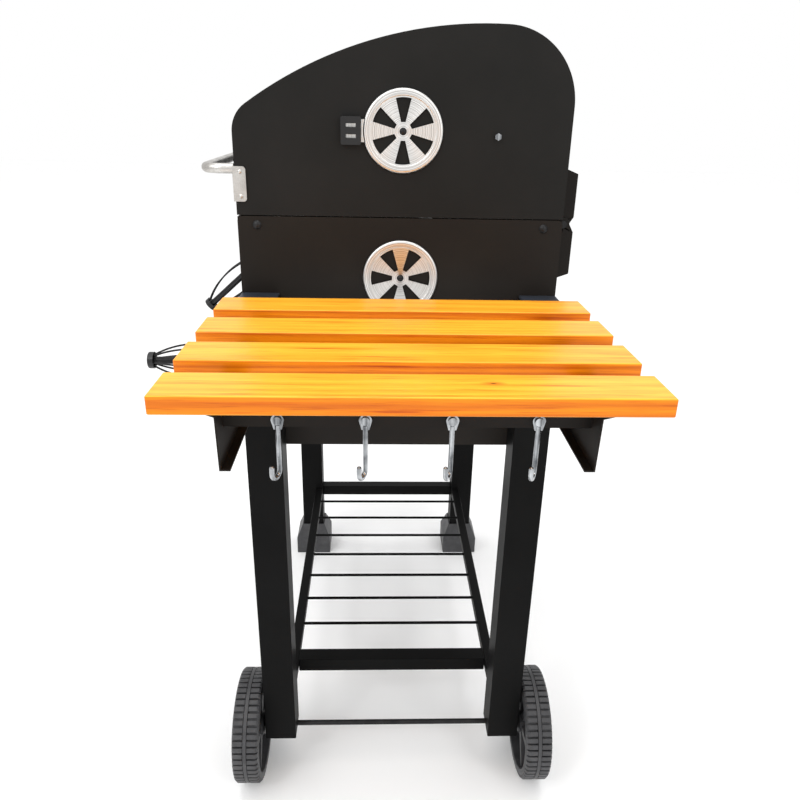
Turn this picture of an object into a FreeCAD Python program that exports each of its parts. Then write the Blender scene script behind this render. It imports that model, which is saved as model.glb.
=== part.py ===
import FreeCAD, Part
import math
import os
import re

import Sketcher
from FreeCAD import Placement, Rotation, Vector

# A lidded charcoal grill on a two-wheeled cart, in millimetres.
#
# Sizes are worked out in a frame whose X = 0 is the outer face of the shelf-side
# panel (+X towards the shelf), whose Y = 0 is the middle of the body (-Y is the front,
# +Y the hinge side) and whose Z = 0 is the ground. place() then moves every piece so
# that the origin is the middle of the whole grill's footprint.

SIZES = {
    # fire body and lid
    "body_width": 589.0,          # between the outer faces of the two side panels
    "body_depth": 399.0,
    "seam_z": 880.0,              # where the lid meets the body
    "body_height": 308.0,         # from the seam down to the floor of the body
    "lid_height": 213.6,
    "plate": 1.5,                 # sheet steel of body and lid
    "seam_gap": 1.2,
    "panel_round": 6.0,
    "crown_radius": 500.0,        # the lid's long arch
    "crown_back": 100.0,          # how far behind the middle the arch is highest
    "front_round": 38.0,
    "back_round": 85.0,
    # legs, wheels and feet
    "leg_wide": 47.2,
    "leg_deep": 46.7,
    "leg_wall": 2.0,
    "leg_drop": 98.0,             # leg tops below the seam
    "leg_below_axle": 9.0,
    "leg_cap": 3.0,
    "leg_bolt_in": 25.0,          # leg bolts from the leg's top and the body's floor
    "plug_gap": 0.2,              # a cap's plug clear of its tube's walls
    "plug_deep": 10.0,
    "wheel_radius": 85.0,
    "wheel_width": 40.0,
    "wheel_gap": 3.0,
    "wheel_rim": 17.0,
    "wheel_round": 4.0,
    "wheel_web": 8.0,
    "wheel_window": 15.0,
    "hub_radius": 17.0,
    "axle_radius": 4.0,
    "running_gap": 0.05,          # radial gap of a shaft in its bore
    "hub_cap": 6.0,
    "cap_gap": 0.4,               # caps and collars clear of the wheels
    "boot_wide": 78.0,
    "boot_deep": 78.0,
    "boot_step": 40.0,
    "boot_height": 72.0,
    "boot_wall": 2.5,
    "boot_gap": 0.1,              # foot clear of its leg all round
    "boot_sole": 8.0,
    # storage rack between the legs
    "rack_top": 168.0,
    "rail_wide": 16.0,
    "rail_tall": 16.0,
    "near_bar_back": 26.5,
    "near_bar_deep": 26.0,
    "near_bar_tall": 23.0,
    "far_bar_deep": 24.0,
    "far_bar_tall": 23.0,
    "wire_radius": 2.5,
    "wire_near": 118.6,
    "wire_far": 55.0,
    # shelf
    "shelf_start": 76.3,
    "slat_length": 416.0,
    "slat_width": 53.7,
    "slat_gap": 29.8,
    "slat_thick": 16.2,
    "slat_edge": 1.5,
    "bracket_past_leg": 17.4,     # a bracket's outer face beyond the leg's inner face
    "bracket_sheet": 1.5,
    "bracket_tall": 80.0,
    "bracket_lip": 10.0,
    "bracket_top": 24.0,
    "shelf_bolt_down": 18.0,      # shelf bolts from a bracket's upper and lower edges
    "shelf_bolt_in": 8.2,         # shelf bolts inward of a bracket's outer face
    "bracket_reach": 322.0,
    "bracket_nose": 372.0,
    "nose_tall": 26.0,
    "cross_front": 300.0,
    "cross_tall": 46.0,
    "cross_top": 20.0,
    "hook_pitch": 79.0,
    "hook_drop": 8.0,             # hook pivots above the crossbar's lower edge
    "hook_wire": 2.3,
    "hook_gap": 0.6,              # hook clear of the crossbar's face
    "hook_bore": 2.05,
    "hook_screw": 2.0,
    "hook_tip": 6.0,              # straight end past the bend
    "hook_flat": 3.4,             # thickness of the flattened eye
    "hook_neck": 3.6,
    "hook_taper": 9.0,
    "hook_eye": 6.0,
    "hook_shank": 51.0,
    "hook_bend": 6.5,
    # lid hinges
    "hinge_inset": 70.0,
    "hinge_back": 14.0,
    "hinge_drop": 13.0,
    "hinge_deep": 28.5,
    "hinge_pin": 3.0,
    "hinge_boss": 9.0,
    "ear": 3.0,
    "ear_half": 14.0,
    "ear_gap": 0.5,
    "ear_crown": 12.0,            # upper ears above their slope
    "ear_clear": 4.0,             # upper plates above the seam's drop
    "ear_foot": 5.0,              # lower plates above the hinge line
    "upper_tall": 58.0,
    "lower_tall": 76.0,
    # lid handle
    "grip_radius": 6.0,
    "grip_reach": 38.5,
    "grip_drop": 53.5,            # handle above the seam
    "grip_inset": 9.0,
    "grip_bend": 22.0,
    "bracket_plate": 2.0,
    "plate_top": 57.0,
    "plate_tall": 40.5,
    "plate_wide": 13.5,
    "rivet_radius": 3.0,
    "rivet_in": 6.0,
    # vent discs
    "vent_up": 99.0,              # lid vent above the seam
    "vent_down": 74.0,            # body vent below the seam
    "vent_radius": 47.4,
    "vent_rim": 9.0,
    "vent_inner": 10.6,
    "vent_outer": 37.0,
    "vent_half_angle": 14.3,
    "vent_sheet": 1.2,
    "vent_gap": 0.4,
    "web_rise": 1.2,              # the disc's sheet above its rim's foot
    "rim_tall": 4.0,
    "tab_end": 70.0,
    "tab_wide": 25.0,
    "thumb_start": 49.0,
    "thumb_end": 72.7,
    "thumb_wide": 31.0,
    "thumb_tall": 8.0,
    "slot_in": 6.0,               # slots from the grip's ends
    "slot_wide": 4.0,
    "slot_off": 4.0,              # slots from the grip's middle
    "bolt_radius": 3.0,
    "bolt_gap": 0.1,              # radial gap of a bolt in a fixed hole
    "dome_radius": 5.0,           # round heads of the vents' bolts
    "frame_dome": 6.4,            # round heads of the frame's bolts
    "rim_outer_round": 3.4,
    "rim_inner_round": 1.5,
    "nut_radius": 5.5,
    "nut_tall": 4.0,
    "rack_nut": 4.2,
    # charcoal door
    "door_width": 320.0,
    "door_height": 120.0,
    "door_rise": 119.0,           # door opening above the body's floor
    "door_lap": 8.0,
    "door_sheet": 2.0,
    "door_gap": 0.4,
    "knuckle_radius": 4.0,
    "knuckle_long": 14.0,
    "knuckle_out": 5.0,
    "knuckle_under": 6.0,
    "door_pin": 2.0,
    "door_hinge_half": 110.0,
    "door_handle_up": 94.0,       # handle foot above the opening's lower edge
    "door_handle_tilt": 42.0,
    # bowed-wire heat-proof handles
    "cage_neck": 26.0,
    "cage_start": 5.0,            # core starts this far along, clear of the sloping face
    "cage_long": 112.0,
    "cage_cap": 8.0,
    "cap_radius": 11.5,
    "cage_foot": 8.0,
    "cage_bulge": 23.0,
    "cage_wire": 1.3,
    "core_radius": 5.0,
    # charcoal tray and its lifting lever
    "lever_reach": 140.0,         # handle end in front of the body
    "lever_inset": 40.0,
    "lever_rise": 107.0,
    "lever_pivot": 34.5,          # pivot in front of the body's back face
    "lever_slot": 13.0,
    "lever_travel": 85.0,
    "lift_gap": 0.4,
    "lift_shaft": 6.0,
    "lift_cross": 4.2,
    "tray_inset": 62.0,
    "tray_front": 34.0,
    "tray_back": 49.0,
    "tray_tall": 60.0,
    "tray_slot": 8.0,
    "pivot_plate": 3.0,
    "pivot_inset": 18.0,
    # ash drawer
    "drawer_side": 17.3,          # drawer's side clear of the far legs' inner faces
    "drawer_long": 500.0,
    "drawer_tall": 45.0,
    "drawer_gap": 1.0,
    "drawer_lap": 6.0,
    "pull_out": 18.0,
    "pull_wide": 120.0,
    "pull_up": 28.0,
    # cooking grate and its ledges
    "ledge_drop": 23.0,
    "ledge_sheet": 1.5,
    "ledge_wide": 19.0,
    "ledge_tall": 18.0,
    "corner_bolt_in": 23.5,
    "corner_bolt_drop": 11.0,
    "grate_inset": 12.0,
    "grate_margin": 9.5,
    "grate_border": 3.0,
    "grate_wire": 2.0,
    # warming rack, carried by the lid and two swinging links
    "swing_back": 101.5,          # rack pin in front of the lid's hinge
    "swing_up": 108.0,
    "rack_deep": 172.0,
    "rack_side": 16.0,
    "rack_bar_in": 9.0,           # rack's rear bar in front of its pins
    "link_start": 6.0,
    "link_sheet": 3.0,
    "link_end": 6.0,
    "link_stud": 2.5,
    "open_pivot_gap": 0.3,
}
GRATE_WIRES = 25
RACK_WIRES = 8
STORAGE_WIRES = 7
CAGE_WIRES = 6
VENT_OPENINGS = 6
HOOK_TURN = -25                   # hooks open outwards and a little to the front
LID_VENT_TURN = "30"              # plate openings, a half step from the closed disc's
BODY_VENT_TURN = "0"
WHEEL_WINDOWS = 6
SLATS = 4
HOOKS = 4
DOME_CUT = 30.0                   # latitude at which a bolt's round head is cut flat

HALF = "(body_depth / 2)"
FLOOR = "(seam_z - body_height)"
LEG_TOP = "(seam_z - leg_drop)"
FAR = "(-body_width)"
LEG_IN = f"({HALF} - leg_wide)"
LEG_MID = f"({HALF} - leg_wide / 2)"
BRACKET_OUT = f"({LEG_IN} + bracket_past_leg)"
DRAWER_HALF = f"({LEG_IN} - drawer_side)"
SHELF_END = f"(shelf_start + {SLATS} * slat_width + {SLATS - 1} * slat_gap)"
FAR_END = "(-body_width - leg_deep / 2 - boot_deep / 2)"
FRONT_END = f"(-{HALF} - lever_reach)"
BACK_END = f"({HALF} + wheel_gap + wheel_width + hub_cap)"
MID_X = f"(({SHELF_END} + {FAR_END}) / 2)"
MID_Y = f"(({FRONT_END} + {BACK_END}) / 2)"
HINGE_Y = f"({HALF} + hinge_back)"
HINGE_Z = "(seam_z - hinge_drop)"
LEVER_Z = f"({FLOOR} + lever_rise)"
DOOR_LOW = f"({FLOOR} + door_rise)"
TURN = {
    "x": Rotation(Vector(0, 1, 0), 90),
    "-x": Rotation(Vector(0, 1, 0), -90),
    "y": Rotation(Vector(1, 0, 0), -90),
    "-y": Rotation(Vector(1, 0, 0), 90),
    "z": Rotation(),
    "-z": Rotation(Vector(1, 0, 0), 180),
}

doc = FreeCAD.newDocument("charcoal_cart")
sheet = doc.addObject("Spreadsheet::Sheet", "Sizes")
for row, (alias, value) in enumerate(SIZES.items(), start=1):
    sheet.set(f"A{row}", str(value))
    sheet.setAlias(f"A{row}", alias)
doc.recompute()
PARTS = []


# --- small helpers -------------------------------------------------------------------

def bind(text):
    """Point every size name in an expression at its cell."""
    def cell(word):
        return f"Sizes.{word.group()}" if word.group() in SIZES else word.group()
    return re.sub(r"[a-z][a-z_0-9]*", cell, text)


def number(text):
    """Value of an expression with the sheet's present sizes."""
    return float(sheet.evalExpression(text))


def set_base(piece, x, y, z, rotation=None):
    """Put a helper shape at a place in its own sub-part's frame."""
    piece.Placement = Placement(Vector(), rotation or Rotation())
    for axis, text in zip("xyz", (x, y, z)):
        piece.setExpression(f"Placement.Base.{axis}", bind(text))


def place(piece, x, y, z, rotation=None):
    """Put a piece at a place in the grill's frame."""
    set_base(piece, f"{x} - {MID_X}", f"{y} - {MID_Y}", z, rotation)


def part(piece, name):
    """Count a finished piece as a sub-part under its own label."""
    piece.Label = name
    PARTS.append(piece)
    return piece


def box(name, x, y, z, put=place):
    """Box between a low and a high expression on each axis."""
    piece = doc.addObject("Part::Box", name)
    for side, (low, high) in zip(("Length", "Width", "Height"), (x, y, z)):
        piece.setExpression(side, bind(f"({high}) - ({low})"))
    put(piece, x[0], y[0], z[0])
    return piece


def rod(name, axis, radius, start, length, put=place):
    """Round bar from a start point along one of the TURN directions."""
    piece = doc.addObject("Part::Cylinder", name)
    piece.setExpression("Radius", bind(radius))
    piece.setExpression("Height", bind(length))
    put(piece, *start, TURN[axis])
    return piece


def bend(name, radius, bend_radius, centre, rotation, angle, put=place):
    """Round bar bent about a centre; it starts on local +X and turns towards local +Y."""
    piece = doc.addObject("Part::Torus", name)
    piece.setExpression("Radius1", bind(bend_radius))
    piece.setExpression("Radius2", bind(radius))
    piece.setExpression("Angle3", bind(angle))
    put(piece, *centre, rotation)
    return piece


def fuse(name, *pieces):
    piece = doc.addObject("Part::MultiFuse", name)
    piece.Shapes = list(pieces)
    return piece


def group(name, *pieces):
    """Several separate solids that share one sub-part."""
    piece = doc.addObject("Part::Compound", name)
    piece.Links = list(pieces)
    return piece


def cut(name, base, *tools):
    piece = doc.addObject("Part::Cut", name)
    piece.Base = base
    piece.Tool = tools[0] if len(tools) == 1 else group(f"{name}_tools", *tools)
    return piece


def new_body(name):
    return doc.addObject("PartDesign::Body", name)


def sketch_on(body, role, offset="0"):
    """Empty sketch on one of a body's own origin planes."""
    sketch = body.newObject("Sketcher::SketchObject", f"{body.Name}_sketch")
    plane = next(item for item in body.Origin.OriginFeatures if item.Role == role)
    sketch.AttachmentSupport = [(plane, "")]
    sketch.MapMode = "FlatFace"
    sketch.setExpression("AttachmentOffset.Base.z", bind(offset))
    return sketch


def fix(sketch, kind, text, *where):
    """Add a dimension and bind it to the sheet."""
    index = sketch.addConstraint(Sketcher.Constraint(kind, *where, number(text)))
    sketch.setExpression(f"Constraints[{index}]", bind(text))


def arc_between(start, end, radius):
    """Anticlockwise arc of less than half a turn."""
    chord = end - start
    reach = chord.Length / 2
    rise = radius - math.sqrt(radius * radius - reach * reach)
    outward = Vector(chord.y, -chord.x, 0).normalize()
    return Part.Arc(start, start + chord * 0.5 + outward * rise, end)


def outline(sketch, points):
    """Closed anticlockwise outline of (x, y) corners; a third value is the radius of
    the arc that runs from that corner to the next one."""
    spots = [Vector(number(point[0]), number(point[1]), 0) for point in points]
    first = sketch.GeometryCount
    for spot, following, point in zip(spots, spots[1:] + spots[:1], points):
        if len(point) == 3:
            sketch.addGeometry(arc_between(spot, following, number(point[2])))
        else:
            sketch.addGeometry(Part.LineSegment(spot, following))
    for here, point in enumerate(points):
        edge = first + here
        following = first + (here + 1) % len(points)
        sketch.addConstraint(Sketcher.Constraint("Coincident", edge, 2, following, 1))
        fix(sketch, "DistanceX", point[0], -1, 1, edge, 1)
        fix(sketch, "DistanceY", point[1], -1, 1, edge, 1)
        if len(point) == 3:
            fix(sketch, "Radius", point[2], edge)
    return sketch


def circle(sketch, x, y, radius):
    """Circle whose centre and radius are bound to the sheet."""
    centre = Vector(number(x), number(y), 0)
    index = sketch.addGeometry(Part.Circle(centre, Vector(0, 0, 1), number(radius)))
    fix(sketch, "Radius", radius, index)
    fix(sketch, "DistanceX", x, -1, 1, index, 3)
    fix(sketch, "DistanceY", y, -1, 1, index, 3)
    return sketch


def rectangle(low_x, high_x, low_y, high_y):
    """Corners of an upright rectangle, for outline()."""
    return [(low_x, low_y), (high_x, low_y), (high_x, high_y), (low_x, high_y)]


def rounded(low_x, high_x, low_y, high_y, radius):
    """Corners of a rectangle with round corners, for outline()."""
    return [
        (f"{low_x} + {radius}", low_y), (f"{high_x} - {radius}", low_y, radius),
        (high_x, f"{low_y} + {radius}"), (high_x, f"{high_y} - {radius}", radius),
        (f"{high_x} - {radius}", high_y), (f"{low_x} + {radius}", high_y, radius),
        (low_x, f"{high_y} - {radius}"), (low_x, f"{low_y} + {radius}", radius),
    ]


def pad(body, sketch, length):
    feature = body.newObject("PartDesign::Pad", f"{body.Name}_pad")
    feature.Profile = sketch
    feature.setExpression("Length", bind(length))
    return feature


def pocket(body, sketch):
    """Cut a sketch right through the body, both ways."""
    feature = body.newObject("PartDesign::Pocket", f"{body.Name}_pocket")
    feature.Profile = sketch
    feature.Type = "ThroughAll"
    feature.Midplane = True
    return feature


def around(body, feature, role, count):
    """Repeat a feature round one of the body's own axes."""
    axis = next(item for item in body.Origin.OriginFeatures if item.Role == role)
    pattern = body.newObject("PartDesign::PolarPattern", f"{body.Name}_pattern")
    pattern.Originals = [feature]
    pattern.Axis = (axis, [""])
    pattern.Angle = 360
    pattern.Occurrences = count
    body.Tip = pattern
    return pattern


def bolt(name, grip, head="dome", dome="frame_dome"):
    """Bolt along local +Z from its head: the shank runs down -Z through the grip and
    ends in a hexagon nut. The head sits on Z = 0."""
    if head == "dome":
        top = doc.addObject("Part::Sphere", f"{name}_head")
        top.setExpression("Radius", bind(dome))
        top.Angle1 = DOME_CUT
        set_base(top, "0", "0", f"-{dome} * sin({DOME_CUT})")
    else:
        top = hexagon(f"{name}_head", "0")
    shank = rod(f"{name}_shank", "-z", "bolt_radius", ("0", "0", "0"),
                f"{grip} + nut_tall + 2", put=set_base)
    nut = hexagon(f"{name}_nut", f"-({grip}) - nut_tall")
    return fuse(name, top, shank, nut)


def hexagon(name, z, radius="nut_radius"):
    piece = doc.addObject("Part::Prism", name)
    piece.Polygon = 6
    piece.setExpression("Circumradius", bind(radius))
    piece.setExpression("Height", bind("nut_tall"))
    set_base(piece, "0", "0", z)
    return piece


def sides():
    """Front and back, as (name, sign)."""
    return (("front", "-1"), ("back", "1"))


# --- legs, feet and wheels -------------------------------------------------------------

def leg_span(sign):
    """Low and high Y of the legs on one side."""
    if sign == "-1":
        return f"-{HALF}", f"-{LEG_IN}"
    return LEG_IN, HALF


def leg_bolt_heights():
    return f"({LEG_TOP} - leg_bolt_in)", f"({FLOOR} + leg_bolt_in)"


def add_leg(name, start_x, low_z, sign, extra_holes=()):
    """Square tube, bored for the bolts that hold it to its side panel."""
    low_y, high_y = leg_span(sign)
    end_x = f"{start_x} + leg_deep"
    outer = box(f"{name}_outer", (start_x, end_x), (low_y, high_y), (low_z, LEG_TOP))
    inner = box(f"{name}_inner",
                (f"{start_x} + leg_wall", f"{end_x} - leg_wall"),
                (f"{low_y} + leg_wall", f"{high_y} - leg_wall"),
                (f"{low_z} - 1", f"{LEG_TOP} + 1"))
    part(cut(name, outer, inner, *extra_holes), name)


def leg_bolt_bore(name, panel_side_x, sign, z, direction):
    """Bore through a leg's inner wall, level with a bolt."""
    return rod(name, direction, "bolt_radius + bolt_gap",
               (panel_side_x, f"{sign} * {LEG_MID}", z), "leg_wall + 1")


def add_legs():
    upper, lower = leg_bolt_heights()
    for side, sign in sides():
        name = f"leg_near_{side}"
        axle_bore = rod(f"{name}_axle", "y", "axle_radius + running_gap",
                        ("leg_deep / 2", f"{leg_span(sign)[0]} - 1", "wheel_radius"),
                        "leg_wide + 2")
        bores = [leg_bolt_bore(f"{name}_bore", "-0.5", sign, z, "x")
                 for z in (upper, lower)]
        bores += [shelf_bore(f"{name}_shelf", sign, z) for z in shelf_bolt_heights()]
        add_leg(name, "0", "wheel_radius - leg_below_axle", sign, (axle_bore, *bores))
        name = f"leg_far_{side}"
        bores = [leg_bolt_bore(f"{name}_bore", f"{FAR} + 0.5", sign, z, "-x")
                 for z in (upper, lower)]
        add_leg(name, f"{FAR} - leg_deep", "boot_sole", sign, bores)


def add_leg_caps():
    """Plastic plugs that close the leg tops."""
    plugs = []
    for side, sign in sides():
        low_y, high_y = leg_span(sign)
        for end, start_x in (("near", "0"), ("far", f"{FAR} - leg_deep")):
            name = f"cap_{end}_{side}"
            cover = box(f"{name}_cover", (start_x, f"{start_x} + leg_deep"),
                        (low_y, high_y), (LEG_TOP, f"{LEG_TOP} + leg_cap"))
            plug = box(f"{name}_plug",
                       (f"{start_x} + leg_wall + plug_gap", f"{start_x} + leg_deep - leg_wall - plug_gap"),
                       (f"{low_y} + leg_wall + plug_gap", f"{high_y} - leg_wall - plug_gap"),
                       (f"{LEG_TOP} - plug_deep", LEG_TOP))
            plugs.append(fuse(name, cover, plug))
    part(group("leg_caps", *plugs), "leg_caps")


def boot_square(body, z, wide, deep):
    sketch = sketch_on(body, "XY_Plane", z)
    corners = rectangle(f"-({deep}) / 2", f"({deep}) / 2", f"-({wide}) / 2", f"({wide}) / 2")
    return outline(sketch, corners)


def add_boots():
    """Moulded feet on the far legs: a square block that narrows to a collar."""
    boots = []
    for side, sign in sides():
        body = new_body(f"boot_{side}")
        pad(body, boot_square(body, "0", "boot_wide", "boot_deep"), "boot_step")
        base = boot_square(body, "boot_step", "boot_wide", "boot_deep")
        collar = boot_square(body, "boot_height", "leg_wide + 2 * boot_wall",
                             "leg_deep + 2 * boot_wall")
        loft = body.newObject("PartDesign::AdditiveLoft", f"{body.Name}_loft")
        loft.Profile = base
        loft.Sections = [collar]
        loft.Ruled = True
        spot = (f"{FAR} - leg_deep / 2", f"{sign} * {LEG_MID}", "0")
        place(body, *spot)
        socket = box(f"{body.Name}_socket",
                     (f"{FAR} - leg_deep - boot_gap", f"{FAR} + boot_gap"),
                     (f"{leg_span(sign)[0]} - boot_gap", f"{leg_span(sign)[1]} + boot_gap"),
                     ("boot_sole", "boot_height + 1"))
        boots.append(cut(f"boot_{side}_hollow", body, socket))
    part(group("boots", *boots), "boots")


def add_wheel(name, sign):
    """Moulded wheel: a wide rim, a hub and a web with windows, turned about Y."""
    body = new_body(name)
    half = "(wheel_width / 2)"
    rim = "(wheel_radius - wheel_rim)"
    web = "(wheel_web / 2)"
    profile = sketch_on(body, "XY_Plane")
    bore = "axle_radius + running_gap"
    outline(profile, [
        (bore, f"-{half}"), ("hub_radius", f"-{half}"), ("hub_radius", f"-{web}"),
        (rim, f"-{web}"), (rim, f"-{half}"), ("wheel_radius - wheel_round", f"-{half}", "wheel_round"),
        ("wheel_radius", f"-{half} + wheel_round"),
        ("wheel_radius", f"{half} - wheel_round", "wheel_round"),
        ("wheel_radius - wheel_round", half), (rim, half), (rim, web), ("hub_radius", web),
        ("hub_radius", half), (bore, half),
    ])
    turned = body.newObject("PartDesign::Revolution", f"{name}_turned")
    turned.Profile = profile
    turned.ReferenceAxis = (profile, ["V_Axis"])
    turned.Angle = 360
    window = sketch_on(body, "XZ_Plane")
    circle(window, f"(hub_radius + {rim}) / 2", "0", "wheel_window")
    around(body, pocket(body, window), "Y_Axis", WHEEL_WINDOWS)
    place(body, "leg_deep / 2", f"{sign} * ({HALF} + wheel_gap + wheel_width / 2)", "wheel_radius")
    part(body, name)


def add_wheels():
    reach = f"({HALF} + wheel_gap + wheel_width + hub_cap / 2)"
    axle = rod("axle", "y", "axle_radius", ("leg_deep / 2", f"-{reach}", "wheel_radius"),
               f"2 * {reach}")
    part(axle, "axle")
    caps = []
    for side, sign in sides():
        add_wheel(f"wheel_{side}", sign)
        direction = "y" if sign == "1" else "-y"
        start = f"{sign} * ({HALF} + wheel_gap + wheel_width + cap_gap)"
        cap = rod(f"axle_cap_{side}_disc", direction, "hub_radius - 4",
                  ("leg_deep / 2", start, "wheel_radius"), "hub_cap - cap_gap")
        hole = rod(f"axle_cap_{side}_hole", direction, "axle_radius",
                   ("leg_deep / 2", start, "wheel_radius"), "hub_cap / 2 - cap_gap")
        collar = rod(f"axle_collar_{side}_disc", direction, "hub_radius - 6",
                     ("leg_deep / 2", f"{sign} * {HALF}", "wheel_radius"), "wheel_gap - cap_gap")
        bore = rod(f"axle_collar_{side}_hole", direction, "axle_radius",
                   ("leg_deep / 2", f"{sign} * {HALF}", "wheel_radius"), "wheel_gap")
        caps += [cut(f"axle_cap_{side}", cap, hole), cut(f"axle_collar_{side}", collar, bore)]
    part(group("axle_caps", *caps), "axle_caps")


# --- storage rack ----------------------------------------------------------------------

def add_storage_rack():
    rails = []
    for side, sign in sides():
        low, high = ("-1", "0") if sign == "-1" else ("0", "1")
        rails.append(box(f"rail_{side}", (FAR, "0"),
                         (f"{sign} * {LEG_IN} + {low} * rail_wide",
                          f"{sign} * {LEG_IN} + {high} * rail_wide"),
                         ("rack_top - rail_tall", "rack_top")))
    across = (f"-{LEG_IN}", LEG_IN)
    near = box("near_bar", ("-near_bar_back - near_bar_deep", "-near_bar_back"), across,
               ("rack_top - near_bar_tall", "rack_top"))
    far_middle = f"{FAR} - leg_deep / 2"
    far = box("far_bar", (f"{far_middle} - far_bar_deep / 2", f"{far_middle} + far_bar_deep / 2"), across,
              ("rack_top - far_bar_tall", "rack_top"))
    part(group("rack_frame", *rails, near, far), "rack_frame")
    pitch = f"(body_width - wire_near - wire_far) / {STORAGE_WIRES - 1}"
    wires = [rod(f"rack_wire_{n}", "y", "wire_radius",
                 (f"-wire_near - {n} * {pitch}", f"-{LEG_IN}", "rack_top - wire_radius"),
                 f"2 * {LEG_IN}")
             for n in range(STORAGE_WIRES)]
    part(group("rack_wires", *wires), "rack_wires")


# --- fire body -------------------------------------------------------------------------

def vent_wedge(sketch, turn="0"):
    """One vent opening, turned this many degrees to the left of straight up."""
    right = f"(vent_half_angle - {turn})"
    left = f"(vent_half_angle + {turn})"
    outline(sketch, [
        (f"vent_inner * sin({right})", f"vent_inner * cos({right})"),
        (f"vent_outer * sin({right})", f"vent_outer * cos({right})", "vent_outer"),
        (f"-vent_outer * sin({left})", f"vent_outer * cos({left})"),
        (f"-vent_inner * sin({left})", f"vent_inner * cos({left})"),
    ])


def side_panel(name, corners, holes, vent_turn, x, z, opening=None):
    """Side plate whose own origin is its vent's middle, on its low-X face. A plate
    without a vent has no vent_turn."""
    body = new_body(name)
    pad(body, outline(sketch_on(body, "YZ_Plane"), corners), "plate")
    bores = sketch_on(body, "YZ_Plane")
    for y_text, z_text, radius in holes:
        circle(bores, y_text, z_text, radius)
    if vent_turn:
        circle(bores, "0", "0", "bolt_radius + bolt_gap")
    if opening:
        outline(bores, opening)
    pocket(body, bores)
    if vent_turn:
        wedge = sketch_on(body, "YZ_Plane")
        vent_wedge(wedge, vent_turn)
        around(body, pocket(body, wedge), "X_Axis", VENT_OPENINGS)
    place(body, x, "0", z)
    part(body, name)


def add_body_shell():
    vent = "(seam_z - vent_down)"
    top = f"(vent_down - seam_gap / 2)"
    corners = rounded(f"-{HALF}", HALF, f"({FLOOR} - {vent})", top, "panel_round")
    bore = "bolt_radius + bolt_gap"
    holes = [(f"{sign} * ({HALF} - corner_bolt_in)", "vent_down - corner_bolt_drop", bore)
             for _, sign in sides()]
    holes += [(f"{sign} * {LEG_MID}", f"{z} - {vent}", bore)
              for _, sign in sides() for z in leg_bolt_heights()]
    side_panel("body_side_near", corners, holes, BODY_VENT_TURN, "-plate", vent)
    low = f"({FLOOR} + plate - {vent})"
    drawer = rectangle(f"-{DRAWER_HALF} - drawer_gap", f"{DRAWER_HALF} + drawer_gap",
                       low, f"{low} + drawer_tall + 2 * drawer_gap")
    side_panel("body_side_far", corners, holes, None, FAR, vent, drawer)
    inside_x = (f"{FAR} + plate", "-plate")
    shell_z = (FLOOR, "seam_z - seam_gap / 2 - 1")
    wall = box("body_front_wall", inside_x, (f"-{HALF}", f"-{HALF} + plate"), shell_z)
    cut_y = (f"-{HALF} - 1", f"-{HALF} + plate + 1")
    middle = "body_width / 2"
    door = box("door_opening",
               (f"-{middle} - door_width / 2", f"-{middle} + door_width / 2"),
               cut_y, (DOOR_LOW, f"{DOOR_LOW} + door_height"))
    slot = box("lever_opening",
               ("-lever_inset - lever_slot / 2", "-lever_inset + lever_slot / 2"), cut_y,
               (f"{LEVER_Z} - lever_slot / 2", f"{LEVER_Z} + lever_travel"))
    part(cut("body_front", wall, door, slot), "body_front")
    back = box("body_back", inside_x, (f"{HALF} - plate", HALF), shell_z)
    part(back, "body_back")
    floor = box("body_floor", inside_x, (f"-{HALF} + plate", f"{HALF} - plate"),
                (FLOOR, f"{FLOOR} + plate"))
    part(floor, "body_floor")


def add_ledges():
    """Angle strips inside the side panels that carry the grate and the rack's links."""
    ledges = []
    top = "(seam_z - ledge_drop)"
    y_span = (f"-{HALF} + plate + 1", f"{HALF} - plate - 1")
    for end, wall, sign in (("near", "-plate", "-1"), ("far", f"{FAR} + plate", "1")):
        def span(start, stop, wall=wall, sign=sign):
            """Low and high X between two distances inward from the wall."""
            near_end, far_end = f"{wall} + {sign} * ({start})", f"{wall} + {sign} * ({stop})"
            return (far_end, near_end) if sign == "-1" else (near_end, far_end)
        upright = box(f"ledge_{end}_upright", span("0", "ledge_sheet"), y_span,
                      (f"{top} - ledge_sheet", f"{top} + ledge_tall"))
        flat = box(f"ledge_{end}_flat", span("0", "ledge_wide"), y_span,
                   (f"{top} - ledge_sheet", top))
        direction = "-x" if sign == "-1" else "x"
        stud = rod(f"ledge_{end}_stud", direction, "hinge_pin",
                   (f"{wall} + {sign} * ledge_sheet", f"{HINGE_Y} - rack_deep", HINGE_Z),
                   "link_start + link_sheet + 1 - plate - ledge_sheet")
        solid = fuse(f"ledge_{end}_solid", upright, flat, stud)
        bores = [rod(f"ledge_{end}_bore_{side}", direction, "bolt_radius + bolt_gap",
                     (f"{wall} - {sign} * 1", f"{y_sign} * ({HALF} - corner_bolt_in)",
                      "seam_z - corner_bolt_drop"), "ledge_sheet + 2")
                 for side, y_sign in sides()]
        ledges.append(cut(f"ledge_{end}", solid, *bores))
    part(group("grate_ledges", *ledges), "grate_ledges")


def shelf_bolt_heights():
    return f"({LEG_TOP} - shelf_bolt_down)", f"({LEG_TOP} - bracket_tall + shelf_bolt_down)"


def shelf_bore(name, sign, z):
    """Bore in a near leg's outer wall for a shelf bolt."""
    return rod(name, "x", "bolt_radius + bolt_gap",
               ("leg_deep - leg_wall - 1", shelf_bolt_y(sign), z), "leg_wall + 2")


def shelf_bolt_y(sign):
    return f"{sign} * ({BRACKET_OUT} - shelf_bolt_in)"


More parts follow.
